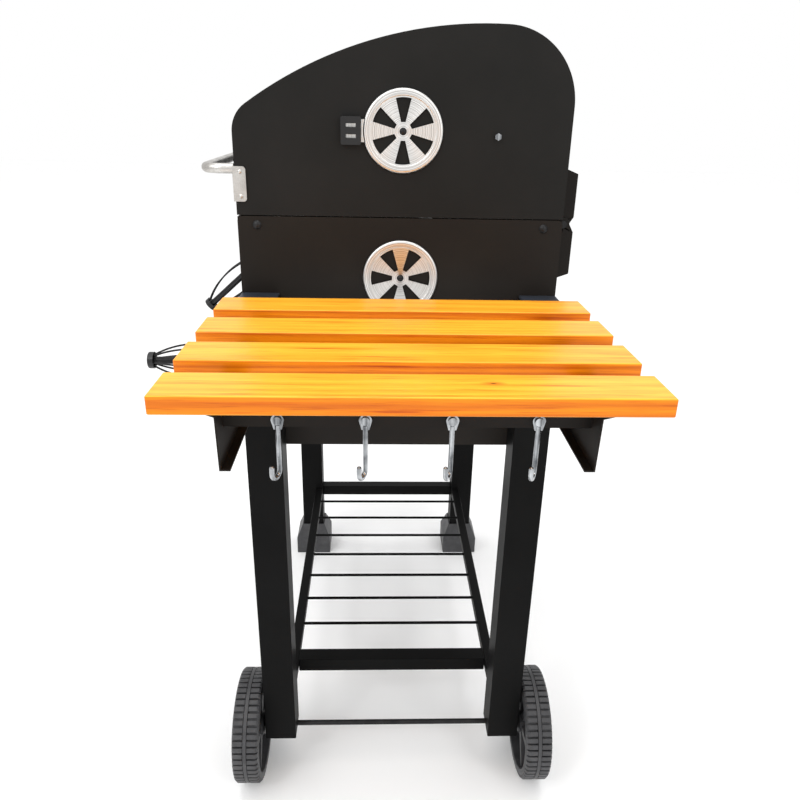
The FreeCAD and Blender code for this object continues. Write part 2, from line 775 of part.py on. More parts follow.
def add_frame_bolts():
    """Round-headed bolts: legs to panels, ledges to panels, shelf brackets to legs."""
    bolts = []
    for side, sign in sides():
        for level, z in enumerate(leg_bolt_heights()):
            name = f"leg_bolt_{side}_{level}"
            near = bolt(f"{name}_near", "plate + leg_wall")
            place(near, "-plate", f"{sign} * {LEG_MID}", z, TURN["-x"])
            far = bolt(f"{name}_far", "plate + leg_wall")
            place(far, f"{FAR} + plate", f"{sign} * {LEG_MID}", z, TURN["x"])
            bolts += [near, far]
        corner_y = f"{sign} * ({HALF} - corner_bolt_in)"
        corner_z = "seam_z - corner_bolt_drop"
        near = bolt(f"corner_bolt_near_{side}", "plate + ledge_sheet")
        place(near, "0", corner_y, corner_z, TURN["x"])
        far = bolt(f"corner_bolt_far_{side}", "plate + ledge_sheet")
        place(far, FAR, corner_y, corner_z, TURN["-x"])
        bolts += [near, far]
        for level, z in enumerate(shelf_bolt_heights()):
            name = f"shelf_bolt_{side}_{level}"
            shelf = bolt(name, "bracket_sheet + leg_wall")
            place(shelf, "leg_deep + bracket_sheet", shelf_bolt_y(sign), z, TURN["x"])
            bolts.append(shelf)
    part(group("frame_bolts", *bolts), "frame_bolts")


# --- lid -------------------------------------------------------------------------------

def lid_outline(inset, base_z):
    """Lid profile in Y and Z, anticlockwise from its lower front corner. Every arc keeps
    its centre, so an inset makes a parallel curve."""
    top = f"(lid_height + {base_z})"
    crown_z = f"({top} - crown_radius)"

    def corner(y_text, radius):
        """Centre height of a corner arc tangent to the crown."""
        span = f"({y_text} - crown_back)"
        return f"({crown_z} + sqrt((crown_radius - {radius}) ^ 2 - {span} ^ 2))"

    front_y = f"(-{HALF} + front_round)"
    back_y = f"({HALF} - back_round)"
    front_z = corner(front_y, "front_round")
    back_z = corner(back_y, "back_round")

    def tangent(y_text, z_text, radius):
        """Where a corner arc meets the crown."""
        scale = f"(({radius} - {inset}) / (crown_radius - {radius}))"
        return (f"{y_text} + {scale} * ({y_text} - crown_back)",
                f"{z_text} + {scale} * ({z_text} - {crown_z})")

    bottom = f"({base_z} + seam_gap / 2)"
    back_join = tangent(back_y, back_z, "back_round")
    front_join = tangent(front_y, front_z, "front_round")
    return [
        (f"-{HALF} + {inset}", bottom),
        (f"{HALF} - {inset}", bottom),
        (f"{HALF} - {inset}", back_z, f"back_round - {inset}"),
        (*back_join, f"crown_radius - {inset}"),
        (*front_join, f"front_round - {inset}"),
        (f"-{HALF} + {inset}", front_z),
    ]


def add_lid_shell():
    bore = "bolt_radius + bolt_gap"
    pin = (f"{HINGE_Y} - swing_back", "swing_up - hinge_drop - vent_up", bore)
    for name, x, vent_turn in (("lid_side_near", "-plate", LID_VENT_TURN),
                               ("lid_side_far", FAR, None)):
        side_panel(name, lid_outline("0", "(-vent_up)"), [pin], vent_turn, x,
                   "seam_z + vent_up")
    body = new_body("lid_skin")
    pad(body, outline(sketch_on(body, "YZ_Plane"), lid_outline("1", "0")),
        "body_width - 2 * plate")
    hollow = lid_outline("(1 + plate)", "0")
    low = "(-1)"
    hollow[0] = (hollow[0][0], low)
    hollow[1] = (hollow[1][0], low)
    pocket(body, outline(sketch_on(body, "YZ_Plane"), hollow))
    place(body, f"{FAR} + plate", "0", "seam_z")
    part(body, "lid_skin")


def add_lid_handle():
    z = "(seam_z + grip_drop)"
    near_x = "(-grip_inset)"
    far_x = f"({FAR} + grip_inset)"
    bar_y = f"(-{HALF} - grip_reach)"
    foot_y = f"(-{HALF} - bracket_plate)"
    arm = "grip_reach - bracket_plate - grip_bend"
    about_z = Vector(0, 0, 1)
    bar = rod("handle_bar", "x", "grip_radius", (f"{far_x} + grip_bend", bar_y, z),
              f"{near_x} - {far_x} - 2 * grip_bend")
    arms = [rod(f"handle_arm_{end}", "-y", "grip_radius", (x, foot_y, z), arm)
            for end, x in (("near", near_x), ("far", far_x))]
    corners = [
        bend("handle_corner_near", "grip_radius", "grip_bend",
             (f"{near_x} - grip_bend", f"{bar_y} + grip_bend", z), Rotation(about_z, -90), "90"),
        bend("handle_corner_far", "grip_radius", "grip_bend",
             (f"{far_x} + grip_bend", f"{bar_y} + grip_bend", z), Rotation(about_z, 180), "90"),
    ]
    part(fuse("lid_handle_bar", bar, *arms, *corners), "lid_handle_bar")
    add_handle_brackets(near_x)


def add_handle_brackets(near_x):
    """Angle plates on the lid's front corners, and the rivets through them."""
    top = "(seam_z + plate_top)"
    bottom = f"({top} - plate_tall)"
    brackets = []
    rivets = []
    rivet_y = f"(-{HALF} + plate_wide / 2)"
    for end, inner, outer, sign in (
            ("near", "0", "bracket_plate", "1"),
            ("far", f"{FAR} - bracket_plate", FAR, "-1")):
        body = new_body(f"handle_bracket_{end}")
        side_leaf = sketch_on(body, "YZ_Plane")
        edge = "4"
        outline(side_leaf, [
            ("-bracket_plate", f"-plate_tall"),
            (f"plate_wide - {edge}", "-plate_tall", edge),
            ("plate_wide", f"-plate_tall + {edge}"),
            ("plate_wide", f"-{edge}", edge),
            (f"plate_wide - {edge}", "0"),
            ("-bracket_plate", "0"),
        ])
        pad(body, side_leaf, "bracket_plate")
        front_leaf = sketch_on(body, "XZ_Plane")
        long_side = "2 * grip_inset"
        low_x, high_x = (f"-{long_side}", "0") if sign == "1" else (
            "bracket_plate", f"bracket_plate + {long_side}")
        outline(front_leaf, rectangle(low_x, high_x, "-plate_tall", "0"))
        pad(body, front_leaf, "bracket_plate")
        place(body, inner, f"-{HALF}", top)
        bores = []
        for level, z in enumerate((f"{top} - rivet_in", f"{bottom} + rivet_in")):
            name = f"rivet_{end}_{level}"
            face = outer if sign == "1" else inner
            rivet = doc.addObject("Part::Sphere", f"{name}_head")
            rivet.setExpression("Radius", bind("rivet_radius"))
            rivet.Angle1 = DOME_CUT
            set_base(rivet, "0", "0", f"-rivet_radius * sin({DOME_CUT})")
            shank = rod(f"{name}_shank", "-z", "rivet_radius / 2", ("0", "0", "0"),
                        "bracket_plate", put=set_base)
            whole = fuse(name, rivet, shank)
            place(whole, face, rivet_y, z, TURN["x" if sign == "1" else "-x"])
            rivets.append(whole)
            bores.append(rod(f"{name}_bore", "x", "rivet_radius / 2",
                             (f"{inner} - 1", rivet_y, z), "bracket_plate + 2"))
        brackets.append(cut(f"handle_bracket_{end}_bored", body, *bores))
    part(group("handle_brackets", *brackets), "handle_brackets")
    part(group("handle_rivets", *rivets), "handle_rivets")


# --- vents -----------------------------------------------------------------------------

def add_vent(name, z, tab_turn):
    """Brushed disc with a rolled rim, six openings and a tab with a plastic grip. The
    disc's own axis is local X, and its tab points along local -Y before tab_turn."""
    disc = new_body(f"{name}_disc")
    web_low = "(vent_gap + web_rise)"
    web_high = f"({web_low} + vent_sheet)"
    rim_in = "(vent_radius - vent_rim)"
    rim_high = "(vent_gap + rim_tall)"
    profile = sketch_on(disc, "XY_Plane")
    outline(profile, [
        (web_low, "bolt_radius + running_gap"), (web_high, "bolt_radius + running_gap"),
        (web_high, rim_in), (f"{rim_high} - rim_inner_round", rim_in, "rim_inner_round"),
        (rim_high, f"{rim_in} + rim_inner_round"),
        (rim_high, "vent_radius - rim_outer_round", "rim_outer_round"),
        (f"{rim_high} - rim_outer_round", "vent_radius"), ("vent_gap", "vent_radius"),
        ("vent_gap", rim_in), (web_low, rim_in),
    ])
    turned = disc.newObject("PartDesign::Revolution", f"{name}_turned")
    turned.Profile = profile
    turned.ReferenceAxis = (profile, ["H_Axis"])
    turned.Angle = 360
    tab = sketch_on(disc, "YZ_Plane", web_low)
    outline(tab, rounded("-tab_end", f"-({rim_in} + 2)", "-tab_wide / 2", "tab_wide / 2", "2"))
    pad(disc, tab, "vent_sheet")
    wedge = sketch_on(disc, "YZ_Plane")
    vent_wedge(wedge)
    around(disc, pocket(disc, wedge), "X_Axis", VENT_OPENINGS)
    turn = Rotation(Vector(1, 0, 0), tab_turn)
    place(disc, "0", "0", z, turn)
    part(disc, f"{name}_disc")
    add_vent_grip(name, z, turn, web_low, web_high)
    fastener = bolt(f"{name}_bolt", f"plate + {web_high} + 0.1", dome="dome_radius")
    place(fastener, f"{web_high} + 0.1", "0", z, TURN["x"])
    part(fastener, f"{name}_bolt")


def add_vent_grip(name, z, turn, web_low, web_high):
    """Plastic slide-on grip with two slots that show the tab."""
    grip = new_body(f"{name}_grip_block")
    sketch = sketch_on(grip, "YZ_Plane", "vent_gap")
    outline(sketch, rounded("-thumb_end", "-thumb_start", "-thumb_wide / 2", "thumb_wide / 2", "2"))
    pad(grip, sketch, "thumb_tall - vent_gap")
    pocket_for_tab = box(f"{name}_grip_tab", (web_low, web_high),
                         ("-tab_end", "-thumb_start + 1"),
                         ("-tab_wide / 2", "tab_wide / 2"), put=set_base)
    slots = [box(f"{name}_grip_slot_{n}", (web_high, "thumb_tall + 1"),
                 ("-thumb_end + slot_in", "-thumb_start - slot_in"), (low, f"{low} + slot_wide"),
                 put=set_base)
             for n, low in enumerate(("(-slot_off - slot_wide)", "slot_off"))]
    whole = cut(f"{name}_grip", grip, pocket_for_tab, *slots)
    place(whole, "0", "0", z, turn)
    part(whole, f"{name}_grip")


# --- hinges ----------------------------------------------------------------------------

def hinge_x():
    return (("near", "(-hinge_inset)"), ("far", f"({FAR} + hinge_inset)"))


def ear_pair(name, half, corners, x):
    """Two upright ears with round bosses about the hinge line; local Y = 0 is the
    body's back face and local Z = 0 the hinge line."""
    ears = []
    for side, low in (("a", f"-({half}) - ear"), ("b", half)):
        body = new_body(f"{name}_ear_{side}")
        pad(body, outline(sketch_on(body, "YZ_Plane", low), corners), "ear")
        pad(body, circle(sketch_on(body, "YZ_Plane", low), "hinge_back", "0", "hinge_boss"), "ear")
        place(body, x, HALF, HINGE_Z)
        ears.append(body)
    return ears


def hinge_bore(name, x):
    return rod(name, "x", "hinge_pin + running_gap", (f"{x} - 30", HINGE_Y, HINGE_Z), "60")


def add_lid_hinges():
    upper = []
    lower = []
    pins = []
    boss_low = "(hinge_back - hinge_boss)"
    boss_high = "(hinge_back + hinge_boss)"
    for end, x in hinge_x():
        upper_corners = [
            (boss_low, "0"), (boss_high, "0"), ("hinge_deep", "9"),
            ("hinge_deep", "upper_tall + 5"), ("11", "upper_tall + ear_crown"),
            ("0", "upper_tall + ear_crown"), ("0", "hinge_drop + ear_clear"),
        ]
        lower_corners = [
            ("0", "ear_foot - lower_tall"), ("12", "ear_foot - lower_tall"),
            ("hinge_deep", "11 - lower_tall"), ("hinge_deep", "-10"), (boss_high, "0"),
            (boss_low, "0"), ("0", "ear_foot"),
        ]
        width = "(ear_half - ear_gap - ear)"
        ears = ear_pair(f"upper_{end}", width, upper_corners, x)
        plate = box(f"upper_{end}_plate", (f"{x} - {width} - ear", f"{x} + {width} + ear"),
                    (HALF, f"{HALF} + ear"),
                    (f"{HINGE_Z} + hinge_drop + ear_clear", f"{HINGE_Z} + upper_tall + ear_crown"))
        upper.append(cut(f"upper_{end}", fuse(f"upper_{end}_solid", plate, *ears),
                         hinge_bore(f"upper_{end}_bore", x)))
        ears = ear_pair(f"lower_{end}", "ear_half", lower_corners, x)
        plate = box(f"lower_{end}_plate", (f"{x} - ear_half - ear", f"{x} + ear_half + ear"),
                    (HALF, f"{HALF} + ear"),
                    (f"{HINGE_Z} + ear_foot - lower_tall", f"{HINGE_Z} + ear_foot"))
        lower.append(cut(f"lower_{end}", fuse(f"lower_{end}_solid", plate, *ears),
                         hinge_bore(f"lower_{end}_bore", x)))
        reach = "(ear_half + ear)"
        shaft = rod(f"pin_{end}_shaft", "x", "hinge_pin",
                    (f"{x} - {reach} - 2", HINGE_Y, HINGE_Z), f"2 * {reach} + 2")
        head = rod(f"pin_{end}_head", "x", "hinge_pin + 2",
                   (f"{x} + {reach}", HINGE_Y, HINGE_Z), "2")
        pins.append(fuse(f"pin_{end}", shaft, head))
    part(group("hinge_upper_brackets", *upper), "hinge_upper_brackets")
    part(group("hinge_lower_brackets", *lower), "hinge_lower_brackets")
    return pins


# --- bowed-wire handles ----------------------------------------------------------------

def cage_bow():
    """Radius of a bowed wire's arc and half the angle that it turns through."""
    rise = "(cage_bulge - cage_foot)"
    radius = f"(cage_long ^ 2 / (8 * {rise}) + {rise} / 2)"
    return radius, f"asin(cage_long / 2 / {radius})"


def add_cage(name):
    """Bowed wires round local +Z, standing on the neck's end."""
    radius, half_angle = cage_bow()
    wire = doc.addObject("Part::Torus", f"{name}_wire")
    wire.setExpression("Radius1", bind(radius))
    wire.setExpression("Radius2", bind("cage_wire"))
    wire.setExpression("Angle3", bind(f"2 * {half_angle}"))
    start = doc.addObject("Part::Compound", f"{name}_bow")
    start.Links = [wire]
    wire.Placement = Placement(Vector(), Rotation(Vector(0, 0, 1), 0))
    wire.setExpression("Placement.Rotation.Angle", bind(f"-{half_angle}"))
    set_base(start, f"cage_bulge - {radius}", "0", "cage_neck + cage_long / 2",
             Rotation(Vector(1, 0, 0), 90))
    wires = []
    for n in range(CAGE_WIRES):
        turned = group(f"{name}_turn_{n}", start)
        turned.Placement = Placement(Vector(), Rotation(Vector(0, 0, 1), n * 360 / CAGE_WIRES))
        wires.append(turned)
    return group(name, *wires)


def cage_end(name, cage, rotation, spot):
    """Round end cap and neck ring, both recessed for the ends of the cage's wires."""
    cap = rod(f"{name}_disc", "z", "cap_radius", ("0", "0", "cage_neck + cage_long"),
              "cage_cap", put=set_base)
    rounded_cap = doc.addObject("Part::Fillet", f"{name}_round")
    rounded_cap.Base = cap
    rounded_cap.Edges = [(1, 2.0, 2.0), (3, 2.0, 2.0)]
    collar = rod(f"{name}_collar", "z", "cage_foot + 3", ("0", "0", "cage_neck - 6"), "6",
                 put=set_base)
    bore = rod(f"{name}_bore", "z", "core_radius", ("0", "0", "cage_neck - 7"), "8",
               put=set_base)
    whole = group(name, cut(f"{name}_cap", rounded_cap, cage),
                  cut(f"{name}_ring", collar, bore, cage))
    place(whole, *spot, rotation)
    part(whole, name)


# --- charcoal door ---------------------------------------------------------------------

def door_hinge_line():
    return f"(-{HALF} - knuckle_out)", f"({DOOR_LOW} - door_lap - knuckle_under)"


def add_door():
    middle = "(-body_width / 2)"
    front = f"(-{HALF} - door_gap - door_sheet)"
    back = f"(-{HALF} - door_gap)"
    low = f"({DOOR_LOW} - door_lap)"
    high = f"({DOOR_LOW} + door_height + door_lap)"
    reach = "(door_width / 2 + door_lap)"
    panel = box("door_panel", (f"{middle} - {reach}", f"{middle} + {reach}"), (front, back),
                (low, high))
    hinge_y, hinge_z = door_hinge_line()
    pieces = [panel]
    fixed = []
    pins = []
    for side, sign in (("a", "-1"), ("b", "1")):
        x = f"({middle} + {sign} * door_hinge_half)"
        half = "(knuckle_long / 2)"
        pieces.append(rod(f"door_knuckle_{side}", "x", "knuckle_radius",
                          (f"{x} - {half}", hinge_y, hinge_z), "knuckle_long"))
        pieces.append(box(f"door_leaf_{side}", (f"{x} - {half}", f"{x} + {half}"),
                          (front, back), (hinge_z, low)))
        knuckles = [
            rod(f"hinge_knuckle_{side}_1", "-x", "knuckle_radius",
                (f"{x} - {half} - 0.5", hinge_y, hinge_z), "knuckle_long"),
            rod(f"hinge_knuckle_{side}_2", "x", "knuckle_radius",
                (f"{x} + {half} + 0.5", hinge_y, hinge_z), "knuckle_long"),
            box(f"hinge_leaf_{side}", (f"{x} - {half} - 0.5 - knuckle_long",
                                       f"{x} + {half} + 0.5 + knuckle_long"),
                (f"-{HALF} - 2", f"-{HALF}"), (f"{hinge_z} - 22", f"{hinge_z} - 6")),
        ]
        links = [box(f"hinge_web_{side}_{n}", span, (f"-{HALF} - 2", f"-{HALF}"),
                     (f"{hinge_z} - 7", f"{hinge_z} + 2"))
                 for n, span in enumerate((
                     (f"{x} - {half} - 0.5 - knuckle_long", f"{x} - {half} - 0.5"),
                     (f"{x} + {half} + 0.5", f"{x} + {half} + 0.5 + knuckle_long")))]
        bore = rod(f"hinge_hole_{side}", "x", "door_pin + running_gap",
                   (f"{x} - 2 * knuckle_long", hinge_y, hinge_z), "4 * knuckle_long")
        fixed.append(cut(f"door_hinge_{side}",
                         fuse(f"door_hinge_{side}_solid", *knuckles, *links), bore))
        pins.append(rod(f"door_pin_{side}", "x", "door_pin",
                        (f"{x} - 1.5 * knuckle_long - 1", hinge_y, hinge_z),
                        "3 * knuckle_long + 2"))
    solid = fuse("door_solid", *pieces)
    bore = rod("door_bore", "x", "door_pin + running_gap",
               (f"{middle} - {reach}", hinge_y, hinge_z), f"2 * {reach}")
    part(cut("charcoal_door", solid, bore), "charcoal_door")
    part(group("door_hinges", *fixed), "door_hinges")
    add_door_handle(middle, front)
    return pins


def add_door_handle(middle, front):
    """Handle that slopes forwards and down from the upper part of the door."""
    tilt = number("door_handle_tilt")
    rotation = Rotation(Vector(1, 0, 0), 90 + tilt)
    spot = (middle, f"{front}", f"{DOOR_LOW} + door_handle_up")
    core = rod("door_core", "z", "core_radius", ("0", "0", "cage_start"),
               "cage_neck + cage_long - cage_start", put=set_base)
    cage = add_cage("door_cage")
    whole = group("door_handle_cage", cage, core)
    place(whole, *spot, rotation)
    part(whole, "door_handle_cage")
    cage_end("door_handle_cap", cage, rotation, spot)


# --- charcoal tray and lever -----------------------------------------------------------

def lever_pivot_y():
    return f"({HALF} - lever_pivot)"


def add_lift():
    """Rod frame pivoted at the back: its near arm comes out through the front slot."""
    pivot_y = lever_pivot_y()
    near_x = "(-lever_inset)"
    far_x = f"({FAR} + lever_inset)"
    foot_y = f"(-{HALF} - lever_reach + cage_cap + cage_long)"
    shaft = rod("lift_shaft_rod", "x", "lift_shaft", (f"{FAR} + pivot_inset", pivot_y, LEVER_Z),
                "body_width - 2 * pivot_inset")
    near_arm = rod("lift_near_arm", "-y", "core_radius", (near_x, pivot_y, LEVER_Z),
                   f"{pivot_y} + {HALF} + lever_reach - cage_cap")
    far_arm = rod("lift_far_arm", "-y", "core_radius", (far_x, pivot_y, LEVER_Z),
                  f"{pivot_y} + 2 * lift_cross")
    cross = rod("lift_cross_rod", "x", "lift_cross", (far_x, "0", LEVER_Z),
                f"{near_x} - {far_x}")
    part(fuse("tray_lift_frame", shaft, near_arm, far_arm, cross), "tray_lift_frame")
    rotation = TURN["-y"]
    spot = (near_x, f"{foot_y} + cage_neck", LEVER_Z)
    cage = add_cage("lift_cage")
    whole = group("lift_handle_cage", cage)
    place(whole, *spot, rotation)
    part(whole, "lift_handle_cage")
    cage_end("lift_handle_cap", cage, rotation, spot)
    brackets = []
    for end, x in (("near", "(-pivot_inset - 8)"), ("far", f"({FAR} + pivot_inset + 8)")):
        plate = box(f"pivot_{end}_plate", (f"{x} - pivot_plate / 2", f"{x} + pivot_plate / 2"),
                    (f"{pivot_y} - 12", f"{HALF} - plate"),
                    (f"{LEVER_Z} - 12", f"{LEVER_Z} + 12"))
        bore = rod(f"pivot_{end}_bore", "x", "lift_shaft + running_gap",
                   (f"{x} - 10", pivot_y, LEVER_Z), "20")
        brackets.append(cut(f"pivot_{end}", plate, bore))
    part(group("lift_pivot_brackets", *brackets), "lift_pivot_brackets")


def add_tray():
    """Open tray with air slots, standing just clear of the lift frame's cross rod."""
    low = f"({LEVER_Z} + lift_cross + lift_gap)"
    high = f"({low} + tray_tall)"
    x_span = (f"{FAR} + tray_inset", "-tray_inset")
    y_span = (f"-{HALF} + tray_front", f"{HALF} - tray_back")
    outer = box("tray_outer", x_span, y_span, (low, high))
    inner = box("tray_inner", (f"{x_span[0]} + plate", f"{x_span[1]} - plate"),
                (f"{y_span[0]} + plate", f"{y_span[1]} - plate"), (f"{low} + plate", f"{high} + 1"))
    count = 6
    pitch = f"((body_width - 2 * tray_inset) / {count})"
    slots = [box(f"tray_slot_{n}",
                 (f"{x_span[0]} + ({n} + 0.5) * {pitch} - tray_slot / 2",
                  f"{x_span[0]} + ({n} + 0.5) * {pitch} + tray_slot / 2"),
                 (f"{y_span[0]} + 40", f"{y_span[1]} - 40"), (f"{low} - 1", f"{low} + plate + 1"))
             for n in range(count)]
    part(cut("charcoal_tray", outer, inner, *slots), "charcoal_tray")


def add_drawer():
    """Ash drawer that runs on the body's floor and comes out at the far end."""
    low = f"({FLOOR} + plate + drawer_gap)"
    high = f"({low} + drawer_tall)"
    half = DRAWER_HALF
    x_span = (f"{FAR} - door_gap", f"{FAR} + drawer_long")
    outer = box("drawer_outer", x_span, (f"-{half}", half), (low, high))
    inner = box("drawer_inner", (f"{x_span[0]} + plate", f"{x_span[1]} - plate"),
                (f"-{half} + plate", f"{half} - plate"), (f"{low} + plate", f"{high} + 1"))
    face = box("drawer_face", (f"{x_span[0]} - door_sheet", x_span[0]),
               (f"-{half} - drawer_lap", f"{half} + drawer_lap"), (low, f"{high} + drawer_lap"))
    pull = box("drawer_pull", (f"{x_span[0]} - door_sheet - pull_out", f"{x_span[0]} - door_sheet"),
               ("-pull_wide / 2", "pull_wide / 2"),
               (f"{low} + pull_up", f"{low} + pull_up + door_sheet"))
    part(fuse("ash_drawer", cut("drawer_box", outer, inner), face, pull), "ash_drawer")


# --- grate and warming rack ------------------------------------------------------------

def grill(name, x_span, y_span, z, border, wire, wires):
    """Rectangle of round bar filled with wires that run from front to back."""
    x_low, x_high = x_span
    y_low, y_high = y_span
    pieces = [
        rod(f"{name}_front", "x", border, (x_low, y_low, z), f"{x_high} - ({x_low})"),
        rod(f"{name}_back", "x", border, (x_low, y_high, z), f"{x_high} - ({x_low})"),
        rod(f"{name}_far", "y", border, (x_low, y_low, z), f"{y_high} - ({y_low})"),
        rod(f"{name}_near", "y", border, (x_high, y_low, z), f"{y_high} - ({y_low})"),
    ]
    for n, (x, y) in enumerate(((x_low, y_low), (x_low, y_high), (x_high, y_low), (x_high, y_high))):
        ball = doc.addObject("Part::Sphere", f"{name}_corner_{n}")
        ball.setExpression("Radius", bind(border))
        place(ball, x, y, z)
        pieces.append(ball)
    for n in range(1, wires + 1):
        share = n / (wires + 1)
        pieces.append(rod(f"{name}_wire_{n}", "y", wire,
                          (f"{x_low} + {share} * ({x_high} - ({x_low}))", y_low, z),
                          f"{y_high} - ({y_low})"))
    return pieces


def add_grate():
    z = "(seam_z - ledge_drop + grate_border)"
    reach = f"({HALF} - grate_margin - grate_border)"
    pieces = grill("grate", (f"({FAR} + grate_inset + grate_border)",
                             "(-grate_inset - grate_border)"),
                   (f"(-{reach})", reach), z, "grate_border", "grate_wire", GRATE_WIRES)
    part(fuse("cooking_grate", *pieces), "cooking_grate")


def rack_pin():
    return f"({HINGE_Y} - swing_back)", f"({HINGE_Z} + swing_up)"


def add_warming_rack():
    pin_y, pin_z = rack_pin()
    near_x = "(-rack_side)"
    far_x = f"({FAR} + rack_side)"
    back_y = f"({pin_y} - rack_bar_in)"
    pieces = grill("warming", (far_x, near_x), (f"({pin_y} - rack_deep)", back_y), pin_z,
                   "grate_border", "grate_wire", RACK_WIRES)
    eye = "(grate_border + 4)"
    stud_start = "(rack_side - link_start)"
    for end, x, sign in (("near", near_x, "1"), ("far", far_x, "-1")):
        direction = "x" if sign == "1" else "-x"
        pieces.append(rod(f"warming_arm_{end}", "y", "grate_border", (x, back_y, pin_z),
                          "rack_bar_in - bolt_radius - 1.5"))
        pieces.append(rod(f"warming_eye_{end}", direction, eye,
                          (f"{x} - {sign} * grate_border", pin_y, pin_z), "2 * grate_border"))
        pieces.append(rod(f"warming_stud_{end}", direction, "link_stud",
                          (x, f"{pin_y} - rack_deep", pin_z), f"{stud_start} + 1"))
    bores = [rod(f"warming_bore_{end}", "x", "bolt_radius + running_gap",
                 (f"{x} - 12", pin_y, pin_z), "24")
             for end, x in (("near", near_x), ("far", far_x))]
    part(cut("warming_rack", fuse("warming_solid", *pieces), *bores), "warming_rack")
    add_rack_bolts(pin_y, pin_z)
    add_rack_links(pin_y, pin_z)


def add_rack_bolts(pin_y, pin_z):
    """Zinc-plated shouldered bolts through the lid's sides into the rack's eyes."""
    bolts = []
    for end, face, direction in (("near", "0", "x"), ("far", FAR, "-x")):
        name = f"rack_bolt_{end}"
        head = hexagon(f"{name}_head", "0", "rack_nut")
        shank = rod(f"{name}_shank", "-z", "bolt_radius", ("0", "0", "0"),
                    "rack_side + grate_border + 2", put=set_base)
        whole = fuse(name, head, shank)
        place(whole, face, pin_y, pin_z, TURN[direction])
        bolts.append(whole)
    part(group("rack_pivot_bolts", *bolts), "rack_pivot_bolts")


def add_rack_links(pin_y, pin_z):
    """Flat links between the ledges' studs and the rack's front studs."""
    links = []
    length = "sqrt(swing_back ^ 2 + swing_up ^ 2)"
    for end, low in (("near", "(-link_start - link_sheet)"), ("far", f"({FAR} + link_start)")):
        body = new_body(f"link_{end}_blank")
        blank = sketch_on(body, "YZ_Plane")
        outline(blank, [
            ("0", "-link_end"), (length, "-link_end", "link_end"), (f"{length} + link_end", "0", "link_end"),
            (length, "link_end"), ("0", "link_end", "link_end"), ("-link_end", "0", "link_end"),
        ])
        pad(body, blank, "link_sheet")
        holes = sketch_on(body, "YZ_Plane")
        circle(holes, "0", "0", "hinge_pin + running_gap")
        circle(holes, length, "0", "link_stud + open_pivot_gap")
        pocket(body, holes)
        place(body, low, f"{HINGE_Y} - rack_deep", HINGE_Z, Rotation(Vector(1, 0, 0), 0.001))
        body.setExpression("Placement.Rotation.Angle", bind("180 deg - atan(swing_up / swing_back)"))
        links.append(body)
    part(group("rack_links", *links), "rack_links")


# --- shelf -----------------------------------------------------------------------------

def add_shelf_bracket(side, sign):
    """Bent bracket: a tall web, a top flange for the slats, a lip along the bottom and
    an end flange bolted to the leg."""
    name = f"shelf_bracket_{side}"
    body = new_body(name)
    low = "-bracket_tall"
    web = sketch_on(body, "XZ_Plane", "-bracket_sheet" if sign == "-1" else "0")
    outline(web, [
        ("0", low), ("bracket_reach - leg_deep", low),
        ("bracket_reach - leg_deep + 4", "-nose_tall"),
        ("bracket_nose - leg_deep", "-bracket_sheet"),
        ("bracket_nose - leg_deep", "0"), ("0", "0"),
    ])
    pad(body, web, "bracket_sheet")
    inward = ("0", "bracket_top") if sign == "-1" else ("-bracket_top", "0")
    lip = ("0", "bracket_lip") if sign == "-1" else ("-bracket_lip", "0")
    top = sketch_on(body, "XY_Plane", "-bracket_sheet")
    pad(body, outline(top, rectangle("0", "bracket_nose - leg_deep", *inward)), "bracket_sheet")
    foot = sketch_on(body, "XY_Plane", low)
    pad(body, outline(foot, rectangle("0", "bracket_reach - leg_deep", *lip)), "bracket_sheet")
    end = sketch_on(body, "YZ_Plane")
    pad(body, outline(end, rectangle(*inward, low, "0")), "bracket_sheet")
    bores = sketch_on(body, "YZ_Plane")
    for z in shelf_bolt_heights():
        away = "shelf_bolt_in" if sign == "-1" else "-shelf_bolt_in"
        circle(bores, away, f"{z} - {LEG_TOP}", "bolt_radius + bolt_gap")
    hole = body.newObject("PartDesign::Pocket", f"{name}_bores")
    hole.Profile = bores
    hole.Type = "Length"
    hole.Midplane = True
    hole.setExpression("Length", bind("4 * bracket_sheet"))
    place(body, "leg_deep", f"{sign} * {BRACKET_OUT}", LEG_TOP)
    part(body, name)


def add_slat(number_from_body):
    name = f"shelf_slat_{number_from_body + 1}"
    body = new_body(name)
    sketch = sketch_on(body, "XY_Plane")
    board = pad(body, outline(sketch, rectangle("0", "slat_width", "-slat_length / 2",
                                                "slat_length / 2")), "slat_thick")
    doc.recompute()
    edges = [f"Edge{n}" for n in range(1, 13)]
    soft = body.newObject("PartDesign::Fillet", f"{name}_soft")
    soft.Base = (board, edges)
    soft.setExpression("Radius", bind("slat_edge"))
    body.Tip = soft
    place(body, f"shelf_start + {number_from_body} * (slat_width + slat_gap)", "0", LEG_TOP)
    part(body, name)


def hook_places():
    middle = (HOOKS - 1) / 2
    return [f"({n - middle} * hook_pitch)" for n in range(HOOKS)]


def hook_line():
    """X of the crossbar's front face and Z of the hooks' pivots."""
    return "cross_front", f"({LEG_TOP} - cross_tall + hook_drop)"


